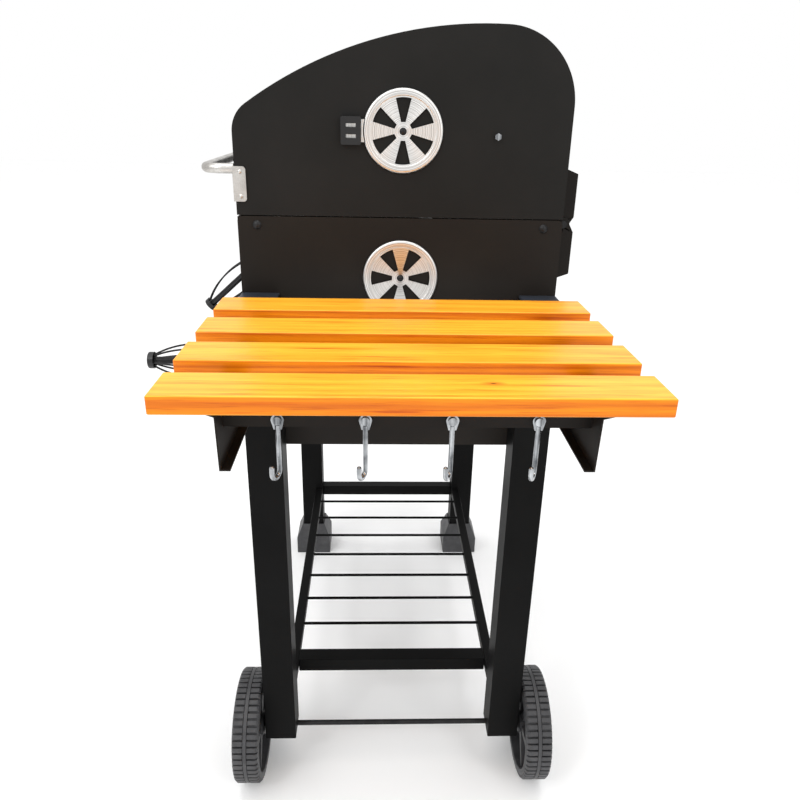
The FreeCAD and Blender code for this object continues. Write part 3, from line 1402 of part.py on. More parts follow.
def add_hook(count, y):
    """Bright hook: a flattened eye, a straight shank and a bend that opens outwards."""
    name = f"hook_{count + 1}"
    front, z = hook_line()
    x = f"({front} + hook_gap + hook_wire)"
    eye_disc = new_body(f"{name}_eye")
    pad(eye_disc, outline(sketch_on(eye_disc, "YZ_Plane"), [
        ("-hook_neck", "-hook_taper"), ("hook_neck", "-hook_taper"),
        ("hook_eye", "0", "hook_eye"), ("0", "hook_eye", "hook_eye"), ("-hook_eye", "0"),
    ]), "hook_flat")
    place(eye_disc, f"{front} + hook_gap", y, z)
    bore = rod(f"{name}_bore", "x", "hook_bore", (f"{front} - 1", y, z), "hook_flat + 4")
    shank = rod(f"{name}_shank", "-z", "hook_wire", (x, y, f"{z} - hook_eye + 1"),
                "hook_shank - hook_eye - 1")
    bottom = f"({z} - hook_shank + 2)"
    curl = bend(f"{name}_curl", "hook_wire", "hook_bend", ("hook_bend", "0", "0"),
                Rotation(Vector(1, 0, 0), 90) * Rotation(Vector(0, 0, 1), 180), "180",
                put=set_base)
    tip = rod(f"{name}_tip", "z", "hook_wire", ("2 * hook_bend", "0", "0"), "hook_tip",
              put=set_base)
    ball = doc.addObject("Part::Sphere", f"{name}_ball")
    ball.setExpression("Radius", bind("hook_wire"))
    set_base(ball, "2 * hook_bend", "0", "hook_tip")
    lower = fuse(f"{name}_lower", curl, tip, ball)
    place(lower, x, y, bottom, Rotation(Vector(0, 0, 1), HOOK_TURN))
    solid = fuse(f"{name}_solid", eye_disc, shank, lower)
    part(cut(name, solid, bore), name)


def screw(name, length):
    """Pan-head screw along local -Z, head standing on Z = 0."""
    head = rod(f"{name}_head", "z", "2 * hook_screw", ("0", "0", "0"), "1.6", put=set_base)
    shank = rod(f"{name}_shank", "-z", "hook_screw", ("0", "0", "0"), length, put=set_base)
    return fuse(name, head, shank)


def add_shelf():
    for side, sign in sides():
        add_shelf_bracket(side, sign)
    high = f"({LEG_TOP} - bracket_sheet)"
    reach = f"({BRACKET_OUT} - bracket_sheet)"
    upright = box("cross_upright", ("cross_front - bracket_sheet", "cross_front"),
                  (f"-{reach}", reach), (f"{LEG_TOP} - cross_tall", high))
    flanges = [box(f"cross_flange_{level}", ("cross_front - cross_top", "cross_front"),
                   (f"-{reach}", reach), span)
               for level, span in (
                   ("top", (f"{high} - bracket_sheet", high)),
                   ("low", (f"{LEG_TOP} - cross_tall", f"{LEG_TOP} - cross_tall + bracket_sheet")))]
    solid = fuse("cross_solid", upright, *flanges)
    front, z = hook_line()
    bores = [rod(f"cross_bore_{n}", "x", "hook_screw", (f"{front} - bracket_sheet - 1", y, z),
                 "bracket_sheet + 2") for n, y in enumerate(hook_places())]
    part(cut("shelf_crossbar", solid, *bores), "shelf_crossbar")
    for count in range(SLATS):
        add_slat(count)
    screws = []
    for count, y in enumerate(hook_places()):
        add_hook(count, y)
        seat = "(2 * hook_gap + hook_flat)"
        fastener = screw(f"hook_screw_{count}", f"{seat} + bracket_sheet + 3")
        place(fastener, f"{front} + {seat}", y, z, TURN["x"])
        screws.append(fastener)
    part(group("shelf_screws", *screws), "shelf_screws")


# --- build, check and write ------------------------------------------------------------

def build():
    add_legs()
    add_leg_caps()
    add_boots()
    add_wheels()
    add_storage_rack()
    add_body_shell()
    add_ledges()
    add_frame_bolts()
    add_lid_shell()
    add_lid_handle()
    add_vent("lid_vent", "(seam_z + vent_up)", 0)
    add_vent("body_vent", "(seam_z - vent_down)", 90)
    pins = add_lid_hinges()
    pins += add_door()
    part(group("hinge_pins", *pins), "hinge_pins")
    add_lift()
    add_tray()
    add_drawer()
    add_grate()
    add_warming_rack()
    add_shelf()


def check():
    for item in doc.Objects:
        faults = [word for word in item.State if word in ("Invalid", "Error")]
        if faults:
            raise RuntimeError(f"{item.Name}: {', '.join(faults)}")
    for piece in PARTS:
        if piece.Shape.isNull() or not piece.Shape.isValid() or not piece.Shape.Solids:
            raise RuntimeError(f"{piece.Label}: bad shape")


def write():
    os.makedirs("parts", exist_ok=True)
    for piece in PARTS:
        piece.Shape.exportStep(os.path.join("parts", f"{piece.Label}.step"))
        print(f"{piece.Label}: {len(piece.Shape.Solids)} solids, "
              f"{piece.Shape.Volume / 1000:.1f} cm3")


build()
doc.recompute()
check()
write()
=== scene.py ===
"""Looks for a charcoal grill cart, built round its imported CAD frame.

Every piece is in metres in the frame's own axes: +X towards the slatted shelf and the
wheels, +Y towards the lid's hinges, +Z up, with the ground at Z = 0.
"""

import logging
import math
from dataclasses import dataclass
from enum import Enum
from typing import Any, Iterable, Mapping, Sequence

import bmesh
import bpy
from mathutils import Matrix, Vector


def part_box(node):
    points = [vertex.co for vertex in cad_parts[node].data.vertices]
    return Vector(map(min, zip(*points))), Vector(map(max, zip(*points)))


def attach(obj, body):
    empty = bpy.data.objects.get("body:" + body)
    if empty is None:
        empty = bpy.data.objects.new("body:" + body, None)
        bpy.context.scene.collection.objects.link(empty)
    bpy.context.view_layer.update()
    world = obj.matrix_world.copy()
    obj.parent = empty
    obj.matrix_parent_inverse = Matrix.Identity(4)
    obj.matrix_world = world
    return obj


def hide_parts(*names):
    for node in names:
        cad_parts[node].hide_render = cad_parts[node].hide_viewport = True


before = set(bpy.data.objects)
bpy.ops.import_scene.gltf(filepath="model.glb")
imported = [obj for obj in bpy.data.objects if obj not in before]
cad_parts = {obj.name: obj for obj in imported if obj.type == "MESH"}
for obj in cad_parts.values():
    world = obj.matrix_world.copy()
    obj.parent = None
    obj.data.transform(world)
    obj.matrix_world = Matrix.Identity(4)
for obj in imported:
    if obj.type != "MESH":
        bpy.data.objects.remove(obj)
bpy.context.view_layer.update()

LOG = logging.getLogger("grill_cart")
MM = 0.001
TREAD_STEPS = 132
WEB_STEPS = 96
HUB_STEPS = 64
WELD_MM = 0.01
SHARP_DEGREES = 40.0
# Spacing of the rings that a wave texture of scale 1 draws, in metres.
WAVE_PITCH = 0.314
NODES: Mapping[str, bpy.types.Object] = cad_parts


class Axis(Enum):
    """A main direction of the cart's frame."""

    X = (1.0, 0.0, 0.0)
    Y = (0.0, 1.0, 0.0)
    Z = (0.0, 0.0, 1.0)

    @property
    def vector(self) -> Vector:
        """The direction as a vector."""
        return Vector(self.value)


def linear(hex_colour: str) -> tuple[float, float, float, float]:
    """Turn an sRGB hex colour into linear light.

    Args:
        hex_colour: A colour such as "#1C1B1A".

    Returns:
        Linear red, green, blue and an alpha of 1.
    """
    channels = [int(hex_colour[at:at + 2], 16) / 255 for at in (1, 3, 5)]
    light = [c / 12.92 if c <= 0.04045 else ((c + 0.055) / 1.055) ** 2.4 for c in channels]
    return (*light, 1.0)


def add(tree: bpy.types.NodeTree, kind: str, settings: Mapping[Any, Any] | None = None,
        links: Mapping[Any, bpy.types.NodeSocket] | None = None) -> bpy.types.Node:
    """Add one shader node with its settings and links.

    Args:
        tree: The node tree that gets the node.
        kind: The node's class without its "ShaderNode" prefix.
        settings: Values by input name or number, or by the node's own property name. A
            colour ramp takes "stops": positions with their sRGB hex colours, rising.
        links: Output sockets by the input name or number that they feed.

    Returns:
        The new node.
    """
    node = tree.nodes.new(f"ShaderNode{kind}")
    for key, value in (settings or {}).items():
        if key == "stops":
            elements = node.color_ramp.elements
            while len(elements) < len(value):
                elements.new(0.5)
            for element, (position, colour) in zip(elements, value):
                element.position = position
                element.color = linear(colour)
        elif isinstance(key, int) or key in node.inputs:
            node.inputs[key].default_value = value
        else:
            setattr(node, key, value)
    for key, socket in (links or {}).items():
        tree.links.new(socket, node.inputs[key])
    return node


@dataclass(frozen=True)
class Finish:
    """A real material with its surface.

    Attributes:
        name: The material's name.
        roughness: The shader's roughness, where nothing varies it.
        metallic: 1 for bare metal, 0 for everything else.
    """

    name: str
    roughness: float = 0.5
    metallic: float = 0.0

    def make(self) -> bpy.types.Material:
        """Build the material, or return the one that is already there.

        Returns:
            The Blender material.
        """
        known = bpy.data.materials.get(self.name)
        if known:
            return known
        material = bpy.data.materials.new(self.name)
        material.use_nodes = True
        tree = material.node_tree
        shader = tree.nodes["Principled BSDF"]
        shader.inputs["Roughness"].default_value = self.roughness
        shader.inputs["Metallic"].default_value = self.metallic
        self.dress(tree, shader)
        return material

    def dress(self, tree: bpy.types.NodeTree, shader: bpy.types.Node) -> None:
        """Add this finish's own nodes.

        Args:
            tree: The material's node tree.
            shader: Its Principled shader.
        """
        raise NotImplementedError

    def gloss(self, tree: bpy.types.NodeTree, factor: bpy.types.NodeSocket, low: float,
              high: float) -> bpy.types.NodeSocket:
        """Vary the roughness with a pattern.

        Args:
            tree: The material's node tree.
            factor: The pattern, from 0 to 1.
            low: What is added to the roughness at 0.
            high: What is added to it at 1.

        Returns:
            The roughness's socket.
        """
        varied = add(tree, "MapRange", {"To Min": self.roughness + low,
                                        "To Max": self.roughness + high}, {"Value": factor})
        return varied.outputs["Result"]

    def cover(self, tree: bpy.types.NodeTree, shader: bpy.types.Node,
              sockets: tuple[bpy.types.NodeSocket, ...], strength: float,
              relief_mm: float) -> None:
        """Feed the shader its colour, its roughness and a relief.

        Args:
            tree: The material's node tree.
            shader: Its Principled shader.
            sockets: The colour, the roughness and the relief's height.
            strength: How strongly the relief tilts the surface.
            relief_mm: The relief's depth.
        """
        colour, gloss, height = sockets
        bump = add(tree, "Bump", {"Strength": strength, "Distance": relief_mm * MM},
                   {"Height": height})
        for name, socket in (("Base Color", colour), ("Roughness", gloss),
                             ("Normal", bump.outputs["Normal"])):
            tree.links.new(socket, shader.inputs[name])


@dataclass(frozen=True)
class PowderCoat(Finish):
    """Matte polyester powder coat baked on sheet steel: the cured film has a faint
    orange-peel skin and hardly any shine, with a little dust greying its flats.

    Attributes:
        specular: How much the film mirrors, 0.5 being bare resin.
        colour: The film's colour.
        dusty: Its colour under dust.
        peel_mm: Width of an orange-peel dimple.
        cloud_mm: Width of a dusty patch.
    """

    name: str = "polyester_powder_coat"
    roughness: float = 0.5
    specular: float = 0.12
    colour: str = "#1B1B1A"
    dusty: str = "#21201F"
    peel_mm: float = 1.1
    cloud_mm: float = 160.0

    def dress(self, tree: bpy.types.NodeTree, shader: bpy.types.Node) -> None:
        """Add cloudy colour, peel relief and a patchy gloss."""
        place = add(tree, "TexCoord").outputs["Object"]
        cloud = add(tree, "TexNoise", {"Scale": 1 / (self.cloud_mm * MM), "Detail": 4.0,
                                       "Roughness": 0.6}, {"Vector": place}).outputs["Fac"]
        peel = add(tree, "TexNoise", {"Scale": 1 / (self.peel_mm * MM), "Detail": 2.0},
                   {"Vector": place})
        colour = add(tree, "ValToRGB", {"stops": ((0.35, self.colour), (0.7, self.dusty))},
                     {"Fac": cloud})
        self.cover(tree, shader, (colour.outputs["Color"], self.gloss(tree, cloud, -0.06, 0.06),
                                  peel.outputs["Fac"]), 0.25, 0.1)
        shader.inputs["Specular IOR Level"].default_value = self.specular


@dataclass(frozen=True)
class SpunSteel(Finish):
    """Stainless sheet brushed while it spins: fine rings round the centre throw two
    bright fans of light across the disc.

    Attributes:
        light: The steel's colour on a ring's ridge.
        dark: Its colour in a ring's groove.
        centre: The centre of the brushing, in metres.
        ring_mm: Spacing of the brushed rings, coarser than the real 0.1 mm so that
            they show.
        pull: How far the rings stretch a highlight.
    """

    name: str = "spun_stainless_steel"
    roughness: float = 0.3
    metallic: float = 1.0
    light: str = "#F7F6F4"
    dark: str = "#B9B6B2"
    centre: tuple[float, float, float] = (0.0, 0.0, 0.0)
    ring_mm: float = 1.0
    pull: float = 0.85

    def dress(self, tree: bpy.types.NodeTree, shader: bpy.types.Node) -> None:
        """Add rings about the disc's own axis, and highlights that follow them."""
        arm = add(tree, "VectorMath", {"operation": "SUBTRACT", 1: self.centre},
                  {0: add(tree, "TexCoord").outputs["Object"]})
        flat = add(tree, "VectorMath", {"operation": "MULTIPLY", 1: (0.0, 1.0, 1.0)},
                   {0: arm.outputs["Vector"]})
        radius = add(tree, "VectorMath", {"operation": "LENGTH"}, {0: flat.outputs["Vector"]})
        rings = add(tree, "TexNoise", {"noise_dimensions": "1D", "Scale": 1 / (self.ring_mm * MM),
                                       "Detail": 3.0, "Roughness": 0.7},
                    {"W": radius.outputs["Value"]}).outputs["Fac"]
        around = add(tree, "VectorMath", {"operation": "CROSS_PRODUCT", 0: (1.0, 0.0, 0.0)},
                     {1: flat.outputs["Vector"]})
        colour = add(tree, "ValToRGB", {"stops": ((0.4, self.dark), (0.6, self.light))},
                     {"Fac": rings})
        self.cover(tree, shader, (colour.outputs["Color"], self.gloss(tree, rings, -0.06, 0.1),
                                  rings), 0.2, 0.03)
        tree.links.new(around.outputs["Vector"], shader.inputs["Tangent"])
        shader.inputs["Anisotropic"].default_value = self.pull


@dataclass(frozen=True)
class GrainedMetal(Finish):
    """Bare metal with a fine grain that runs along one direction, such as a polished
    tube, a plated wire or a rolled sheet.

    Attributes:
        light: The metal's colour where it is clean.
        dark: Its colour where it is dull.
        along: The grain's direction.
        grain_mm: Width of a grain line, coarser than the real one so that it shows.
        stretch: Length of a grain line in widths.
        relief_mm: Depth of a grain line.
        bloom_mm: Width of a dull patch.
    """

    light: str = "#D6D6D6"
    dark: str = "#A8A8A8"
    along: Axis = Axis.X
    grain_mm: float = 0.6
    stretch: float = 40.0
    relief_mm: float = 0.03
    bloom_mm: float = 18.0

    def dress(self, tree: bpy.types.NodeTree, shader: bpy.types.Node) -> None:
        """Add the grain's colour, gloss and relief."""
        place = add(tree, "TexCoord").outputs["Object"]
        scale = tuple(1 / self.stretch if part else 1.0 for part in self.along.value)
        grid = add(tree, "VectorMath", {"operation": "MULTIPLY", 1: scale}, {0: place})
        grain = add(tree, "TexNoise", {"Scale": 1 / (self.grain_mm * MM), "Detail": 3.0},
                    {"Vector": grid.outputs["Vector"]}).outputs["Fac"]
        bloom = add(tree, "TexNoise", {"Scale": 1 / (self.bloom_mm * MM), "Detail": 4.0},
                    {"Vector": place}).outputs["Fac"]
        mixed = add(tree, "Math", {"operation": "MULTIPLY"},
                    {0: grain, 1: bloom}).outputs["Value"]
        colour = add(tree, "ValToRGB", {"stops": ((0.12, self.dark), (0.4, self.light))},
                     {"Fac": mixed})
        self.cover(tree, shader, (colour.outputs["Color"], self.gloss(tree, mixed, 0.1, -0.08),
                                  grain), 0.3, self.relief_mm)


@dataclass(frozen=True)
class VarnishedWood(Finish):
    """Flat-sawn softwood, stained honey orange and varnished: growth rings run out into
    long arches, thin darker streaks follow them, and painted shade deepens the upright sides.

    Attributes:
        early: The face's colour in early wood.
        late: The face's colour in late wood.
        shaded_side_early: An upright side's colour in early wood, darkened as painted shade.
        shaded_side_late: An upright side's colour in late wood, darkened as painted shade.
        heart: The tree's own axis, in metres, off the board.
        ring_mm: Width of a year's growth.
        streak_mm: Width of a resin streak.
        pore_mm: Width of a fine grain line, coarser than the real 0.2 mm so that it shows.
        knot: The middle of a small knot, on a board that has one.
        knot_mm: Half the knot's width.
    """

    name: str = "varnished_pine"
    roughness: float = 0.4
    early: str = "#FFBA34"
    late: str = "#F8A224"
    # Painted shade: the upright sides' darker colours stand in for the shade they fall in.
    shaded_side_early: str = "#F08A0A"
    shaded_side_late: str = "#CC6406"
    heart: tuple[float, float, float] = (0.0, 0.0, 0.0)
    ring_mm: float = 7.5
    streak_mm: float = 4.0
    pore_mm: float = 1.2
    knot: tuple[float, float, float] | None = None
    knot_mm: float = 3.2

    def dress(self, tree: bpy.types.NodeTree, shader: bpy.types.Node) -> None:
        """Add growth rings, streaks, fine grain, a knot and the varnish."""
        place = add(tree, "TexCoord").outputs["Object"]
        pores = self.lines(tree, place, self.pore_mm, 0.02)
        streaks = self.lines(tree, place, self.streak_mm, 0.03)
        colour = self.stained(tree, self.growth_of(tree, place))
        for lines, depth, stops in (
                (pores, 0.5, ((0.34, "#C99A62"), (0.47, "#FFFFFF"))),
                (streaks, 0.75, ((0.3, "#C48240"), (0.38, "#F6DFC0"), (0.46, "#FFFFFF")))):
            shade = add(tree, "ValToRGB", {"stops": stops}, {"Fac": lines}).outputs["Color"]
            colour = add(tree, "Mix", {"data_type": "RGBA", "blend_type": "MULTIPLY",
                                       "Factor": depth}, {6: colour, 7: shade}).outputs[2]
        if self.knot:
            colour = self.with_knot(tree, place, colour)
        self.cover(tree, shader, (colour, self.gloss(tree, pores, 0.06, -0.08), pores), 0.2, 0.08)
        shader.inputs["Specular IOR Level"].default_value = 0.25
        shader.inputs["Coat Weight"].default_value = 0.1
        shader.inputs["Coat Roughness"].default_value = 0.2

    def stained(self, tree: bpy.types.NodeTree,
                growth: bpy.types.NodeSocket) -> bpy.types.NodeSocket:
        """Colour the growth rings, with painted shade deepening the boards' upright sides.

        Args:
            tree: The node tree.
            growth: The factor from early to late wood.

        Returns:
            The stained wood's colour, with painted shade on the upright sides.
        """
        # Painted shade: upright sides take the darker side colours, flat faces the lighter ones.
        normal = add(tree, "SeparateXYZ",
                     links={"Vector": add(tree, "NewGeometry").outputs["Normal"]})
        upright = add(tree, "Math", {"operation": "ABSOLUTE"}, {0: normal.outputs["Z"]})
        facing = add(tree, "MapRange", {"From Min": 0.35, "From Max": 0.75},
                     {"Value": upright.outputs["Value"]})
        edge, face = (add(tree, "ValToRGB", {"stops": ((0.2, early), (0.9, late))},
                          {"Fac": growth}).outputs["Color"]
                      for early, late in ((self.shaded_side_early, self.shaded_side_late),
                                          (self.early, self.late)))
        mixed = add(tree, "Mix", {"data_type": "RGBA"},
                    {"Factor": facing.outputs["Result"], 6: edge, 7: face})
        return mixed.outputs[2]

    def growth_of(self, tree: bpy.types.NodeTree,
                  place: bpy.types.NodeSocket) -> bpy.types.NodeSocket:
        """Add the growth rings about the tree's own axis.

        Args:
            tree: The node tree.
            place: The socket with the point's place.

        Returns:
            A factor from 0 in early wood to 1 in late wood.
        """
        local = add(tree, "VectorMath", {"operation": "SUBTRACT", 1: self.heart}, {0: place})
        long = add(tree, "VectorMath", {"operation": "MULTIPLY", 1: (1.0, 0.05, 1.0)},
                   {0: local.outputs["Vector"]})
        wander = add(tree, "TexNoise", {"Scale": 16.0, "Detail": 4.0},
                     {"Vector": long.outputs["Vector"]})
        bend = add(tree, "VectorMath", {"operation": "MULTIPLY_ADD", 1: (0.03, 0.02, 0.03)},
                   {0: wander.outputs["Color"], 2: long.outputs["Vector"]})
        rings = add(tree, "TexWave", {"wave_type": "RINGS", "rings_direction": "Y",
                                      "Scale": WAVE_PITCH / (self.ring_mm * MM), "Distortion": 1.0,
                                      "Detail": 3.0, "Detail Scale": 1.5},
                    {"Vector": bend.outputs["Vector"]})
        patch = add(tree, "TexNoise", {"Scale": 11.0, "Detail": 3.0}, {"Vector": place})
        mixed = add(tree, "Mix", {"data_type": "FLOAT", "Factor": 0.5},
                    {2: rings.outputs["Fac"], 3: patch.outputs["Fac"]})
        return mixed.outputs[0]

    def lines(self, tree: bpy.types.NodeTree, place: bpy.types.NodeSocket, width_mm: float,
              squeeze: float) -> bpy.types.NodeSocket:
        """Add grain lines that run along the board.

        Args:
            tree: The node tree.
            place: The socket with the point's place.
            width_mm: Width of a line.
            squeeze: Width of a line over its length.

        Returns:
            The lines' factor.
        """
        fine = add(tree, "VectorMath", {"operation": "MULTIPLY", 1: (1.0, squeeze, 1.0)},
                   {0: place})
        noise = add(tree, "TexNoise", {"Scale": 1 / (width_mm * MM), "Detail": 5.0,
                                       "Roughness": 0.6}, {"Vector": fine.outputs["Vector"]})
        return noise.outputs["Fac"]

    def with_knot(self, tree: bpy.types.NodeTree, place: bpy.types.NodeSocket,
                  colour: bpy.types.NodeSocket) -> bpy.types.NodeSocket:
        """Darken a small knot: a short slit along the board with a warm halo.

        Args:
            tree: The node tree.
            place: The socket with the point's place.
            colour: The wood's colour so far.

        Returns:
            The colour with its knot.
        """
        arm = add(tree, "VectorMath", {"operation": "SUBTRACT", 1: self.knot}, {0: place})
        slit = add(tree, "VectorMath", {"operation": "MULTIPLY", 1: (2.2, 1.0, 1.0)},
                   {0: arm.outputs["Vector"]})
        away = add(tree, "VectorMath", {"operation": "LENGTH"}, {0: slit.outputs["Vector"]})
        for reach, shade in ((4.0, "#D9781A"), (1.0, "#3A2008")):
            ring = add(tree, "MapRange", {"From Min": 0.3 * reach * self.knot_mm * MM,
                                          "From Max": reach * self.knot_mm * MM,
                                          "To Min": 0.85, "To Max": 0.0},
                       {"Value": away.outputs["Value"]})
            mixed = add(tree, "Mix", {"data_type": "RGBA", 7: linear(shade)},
                        {"Factor": ring.outputs["Result"], 6: colour})
            colour = mixed.outputs[2]
        return colour


@dataclass(frozen=True)
class MouldedPlastic(Finish):
    """Injection-moulded plastic: an even colour with a spark-eroded grain and slightly
    polished high spots.

    Attributes:
        colour: The plastic's colour.
        worn: Its colour where it is rubbed.
        grain_mm: Width of the mould's grain.
        relief_mm: Depth of the mould's grain.
        scuff_mm: Width of a rubbed patch.
    """

    colour: str = "#151516"
    worn: str = "#242425"
    grain_mm: float = 0.8
    relief_mm: float = 0.08
    scuff_mm: float = 25.0

    def dress(self, tree: bpy.types.NodeTree, shader: bpy.types.Node) -> None:
        """Add the mould's grain and a faint scuff pattern."""
        place = add(tree, "TexCoord").outputs["Object"]
        grain = add(tree, "TexNoise", {"Scale": 1 / (self.grain_mm * MM), "Detail": 2.0},
                    {"Vector": place})
        scuff = add(tree, "TexNoise", {"Scale": 1 / (self.scuff_mm * MM), "Detail": 6.0,
                                       "Roughness": 0.7}, {"Vector": place}).outputs["Fac"]
        colour = add(tree, "ValToRGB", {"stops": ((0.4, self.colour), (0.75, self.worn))},
                     {"Fac": scuff})
        self.cover(tree, shader, (colour.outputs["Color"], self.gloss(tree, scuff, 0.08, -0.08),
                                  grain.outputs["Fac"]), 0.35, self.relief_mm)


@dataclass(frozen=True)
class StudioPaper(Finish):
    """Pale seamless paper under the cart."""

    name: str = "seamless_paper"
    roughness: float = 0.9
    colour: str = "#FFFFFF"

    def dress(self, tree: bpy.types.NodeTree, shader: bpy.types.Node) -> None:
        """Set the paper's plain colour."""
        shader.inputs["Base Color"].default_value = linear(self.colour)


# The lid's coat is a neutral soft black.
COAT = PowderCoat()
# Baked by the fire behind it, the body's coat has gone slightly brown.
BODY_COAT = PowderCoat(name="polyester_powder_coat_body", colour="#1D1A18", dusty="#231F1B")
# The tubes' thinner coat is deep black and all but shadeless.
TUBE_COAT = PowderCoat(name="polyester_powder_coat_tube", colour="#0D0D0D", dusty="#131313",
                       specular=0.06, roughness=0.46)
# Stainless tube with its brushing along its length: soft long highlights.
STAINLESS = GrainedMetal(name="brushed_stainless_tube", roughness=0.3, metallic=1.0,
                         light="#D4D2CE", dark="#A5A19C")
# Bright zinc plate over drawn wire: nearly a mirror, slightly blue.
ZINC = GrainedMetal(name="bright_zinc_wire", roughness=0.14, metallic=1.0, light="#C4C7CA",
                    dark="#3E4145", along=Axis.Z, grain_mm=2.2)
# Chrome plate over drawn grate wire: bright and neutral, with duller patches.
GRATE_PLATE = GrainedMetal(name="chrome_plated_wire", roughness=0.22, metallic=1.0,
                           light="#D0D0D0", dark="#8F8F8F", along=Axis.Y)
# Galvanised pressed sheet: grey, patchy, half matt.
GALVANISED = GrainedMetal(name="galvanised_sheet", roughness=0.45, metallic=1.0, light="#A9ABAD",
                          dark="#74777A", grain_mm=3.0, stretch=3.0)
# Black-oxide steel on bolts and drawn wire: dark metal with an oily shine.
BLACK_OXIDE = GrainedMetal(name="black_oxide_steel", roughness=0.38, metallic=0.6,
                           light="#2A2A2B", dark="#141415", grain_mm=0.8, stretch=4.0)
# Polyethylene of wheels and feet: charcoal grey, waxy, paler where it is rubbed.
WHEEL_PLASTIC = MouldedPlastic(name="moulded_polyethylene", roughness=0.5, colour="#343436",
                               worn="#48484A")
# ABS of the leg caps: bluish grey with a clean satin shine.
CAP_PLASTIC = MouldedPlastic(name="moulded_abs_cap", roughness=0.45, colour="#262A31",
                             worn="#343942")
# Glass-filled nylon of the grips: nearly black, glossy enough to catch the light.
GRIP_PLASTIC = MouldedPlastic(name="moulded_nylon_grip", roughness=0.32, colour="#09090B",
                              worn="#131315", grain_mm=0.6)


def paint(names: Iterable[str], finish: Finish) -> None:
    """Give CAD nodes a finish.

    Args:
        names: The nodes' names.
        finish: The finish for all of them.
    """
    material = finish.make()
    for name in names:
        mesh = NODES[name].data
        mesh.materials.clear()
        mesh.materials.append(material)
        LOG.info("%s: %s", name, material.name)


def soften(names: Iterable[str], width_mm: float, segments: int = 2) -> None:
    """Round the sharp edges of CAD nodes.

    Args:
        names: The nodes' names.
        width_mm: How far each edge is rounded.
        segments: Steps in each rounding.
    """
    for name in names:
        piece = NODES[name]
        weld = piece.modifiers.new("weld", "WELD")
        weld.merge_threshold = WELD_MM * MM
        edge = piece.modifiers.new("edge", "BEVEL")
        edge.width = width_mm * MM
        edge.segments = segments
        edge.limit_method = "ANGLE"
        edge.angle_limit = math.radians(SHARP_DEGREES)
        edge.harden_normals = True
        edge.use_clamp_overlap = True


def new_piece(name: str, mesh: bpy.types.Mesh, finish: Finish) -> bpy.types.Object:
    """Put a finished mesh in the scene.

    Args:
        name: The piece's name.
        mesh: Its mesh, already in the cart's frame.
        finish: Its finish.

    Returns:
        The new object.
    """
    mesh.materials.append(finish.make())
    piece = bpy.data.objects.new(name, mesh)
    bpy.context.scene.collection.objects.link(piece)
    LOG.info("made %s", name)
    return piece


def mesh_from(name: str, work: bmesh.types.BMesh, smooth_degrees: float = 35.0) -> bpy.types.Mesh:
    """Turn a working mesh into a finished one.

    Args:
        name: The mesh's name.
        work: The working mesh, which is freed.
        smooth_degrees: Edges flatter than this are shaded smooth.

    Returns:
        The finished mesh.
    """
    bmesh.ops.recalc_face_normals(work, faces=work.faces)
    mesh = bpy.data.meshes.new(name)
    work.to_mesh(mesh)
    work.free()
    mesh.shade_smooth()
    mesh.set_sharp_from_angle(angle=math.radians(smooth_degrees))
    return mesh


def close_rows(work: bmesh.types.BMesh, rows: Sequence[Sequence[bmesh.types.BMVert]],
               following: Sequence[Sequence[bmesh.types.BMVert]]) -> None:
    """Skin closed rows of corners, each to the row that follows it.

    Args:
        work: The working mesh.
        rows: The rows, each a closed outline.
        following: The row that follows each of them.
    """
    for row, other in zip(rows, following):
        for at in range(len(row)):
            after = (at + 1) % len(row)
            work.faces.new((row[at], row[after], other[after], other[at]))


def lathe(work: bmesh.types.BMesh, profile: Sequence[tuple[float, float]], steps: int,
          centre: Vector) -> None:
    """Turn a closed profile about an axis along Y.

    Args:
        work: The working mesh that gets the ring.
        profile: Corners as (radius, y), in metres.
        steps: Faces round the ring.
        centre: The centre of the ring.
    """
    rows = []
    for step in range(steps):
        angle = 2 * math.pi * step / steps
        rows.append([work.verts.new(centre + Vector((r * math.cos(angle), y, r * math.sin(angle))))
                     for r, y in profile])
    close_rows(work, rows, rows[1:] + rows[:1])


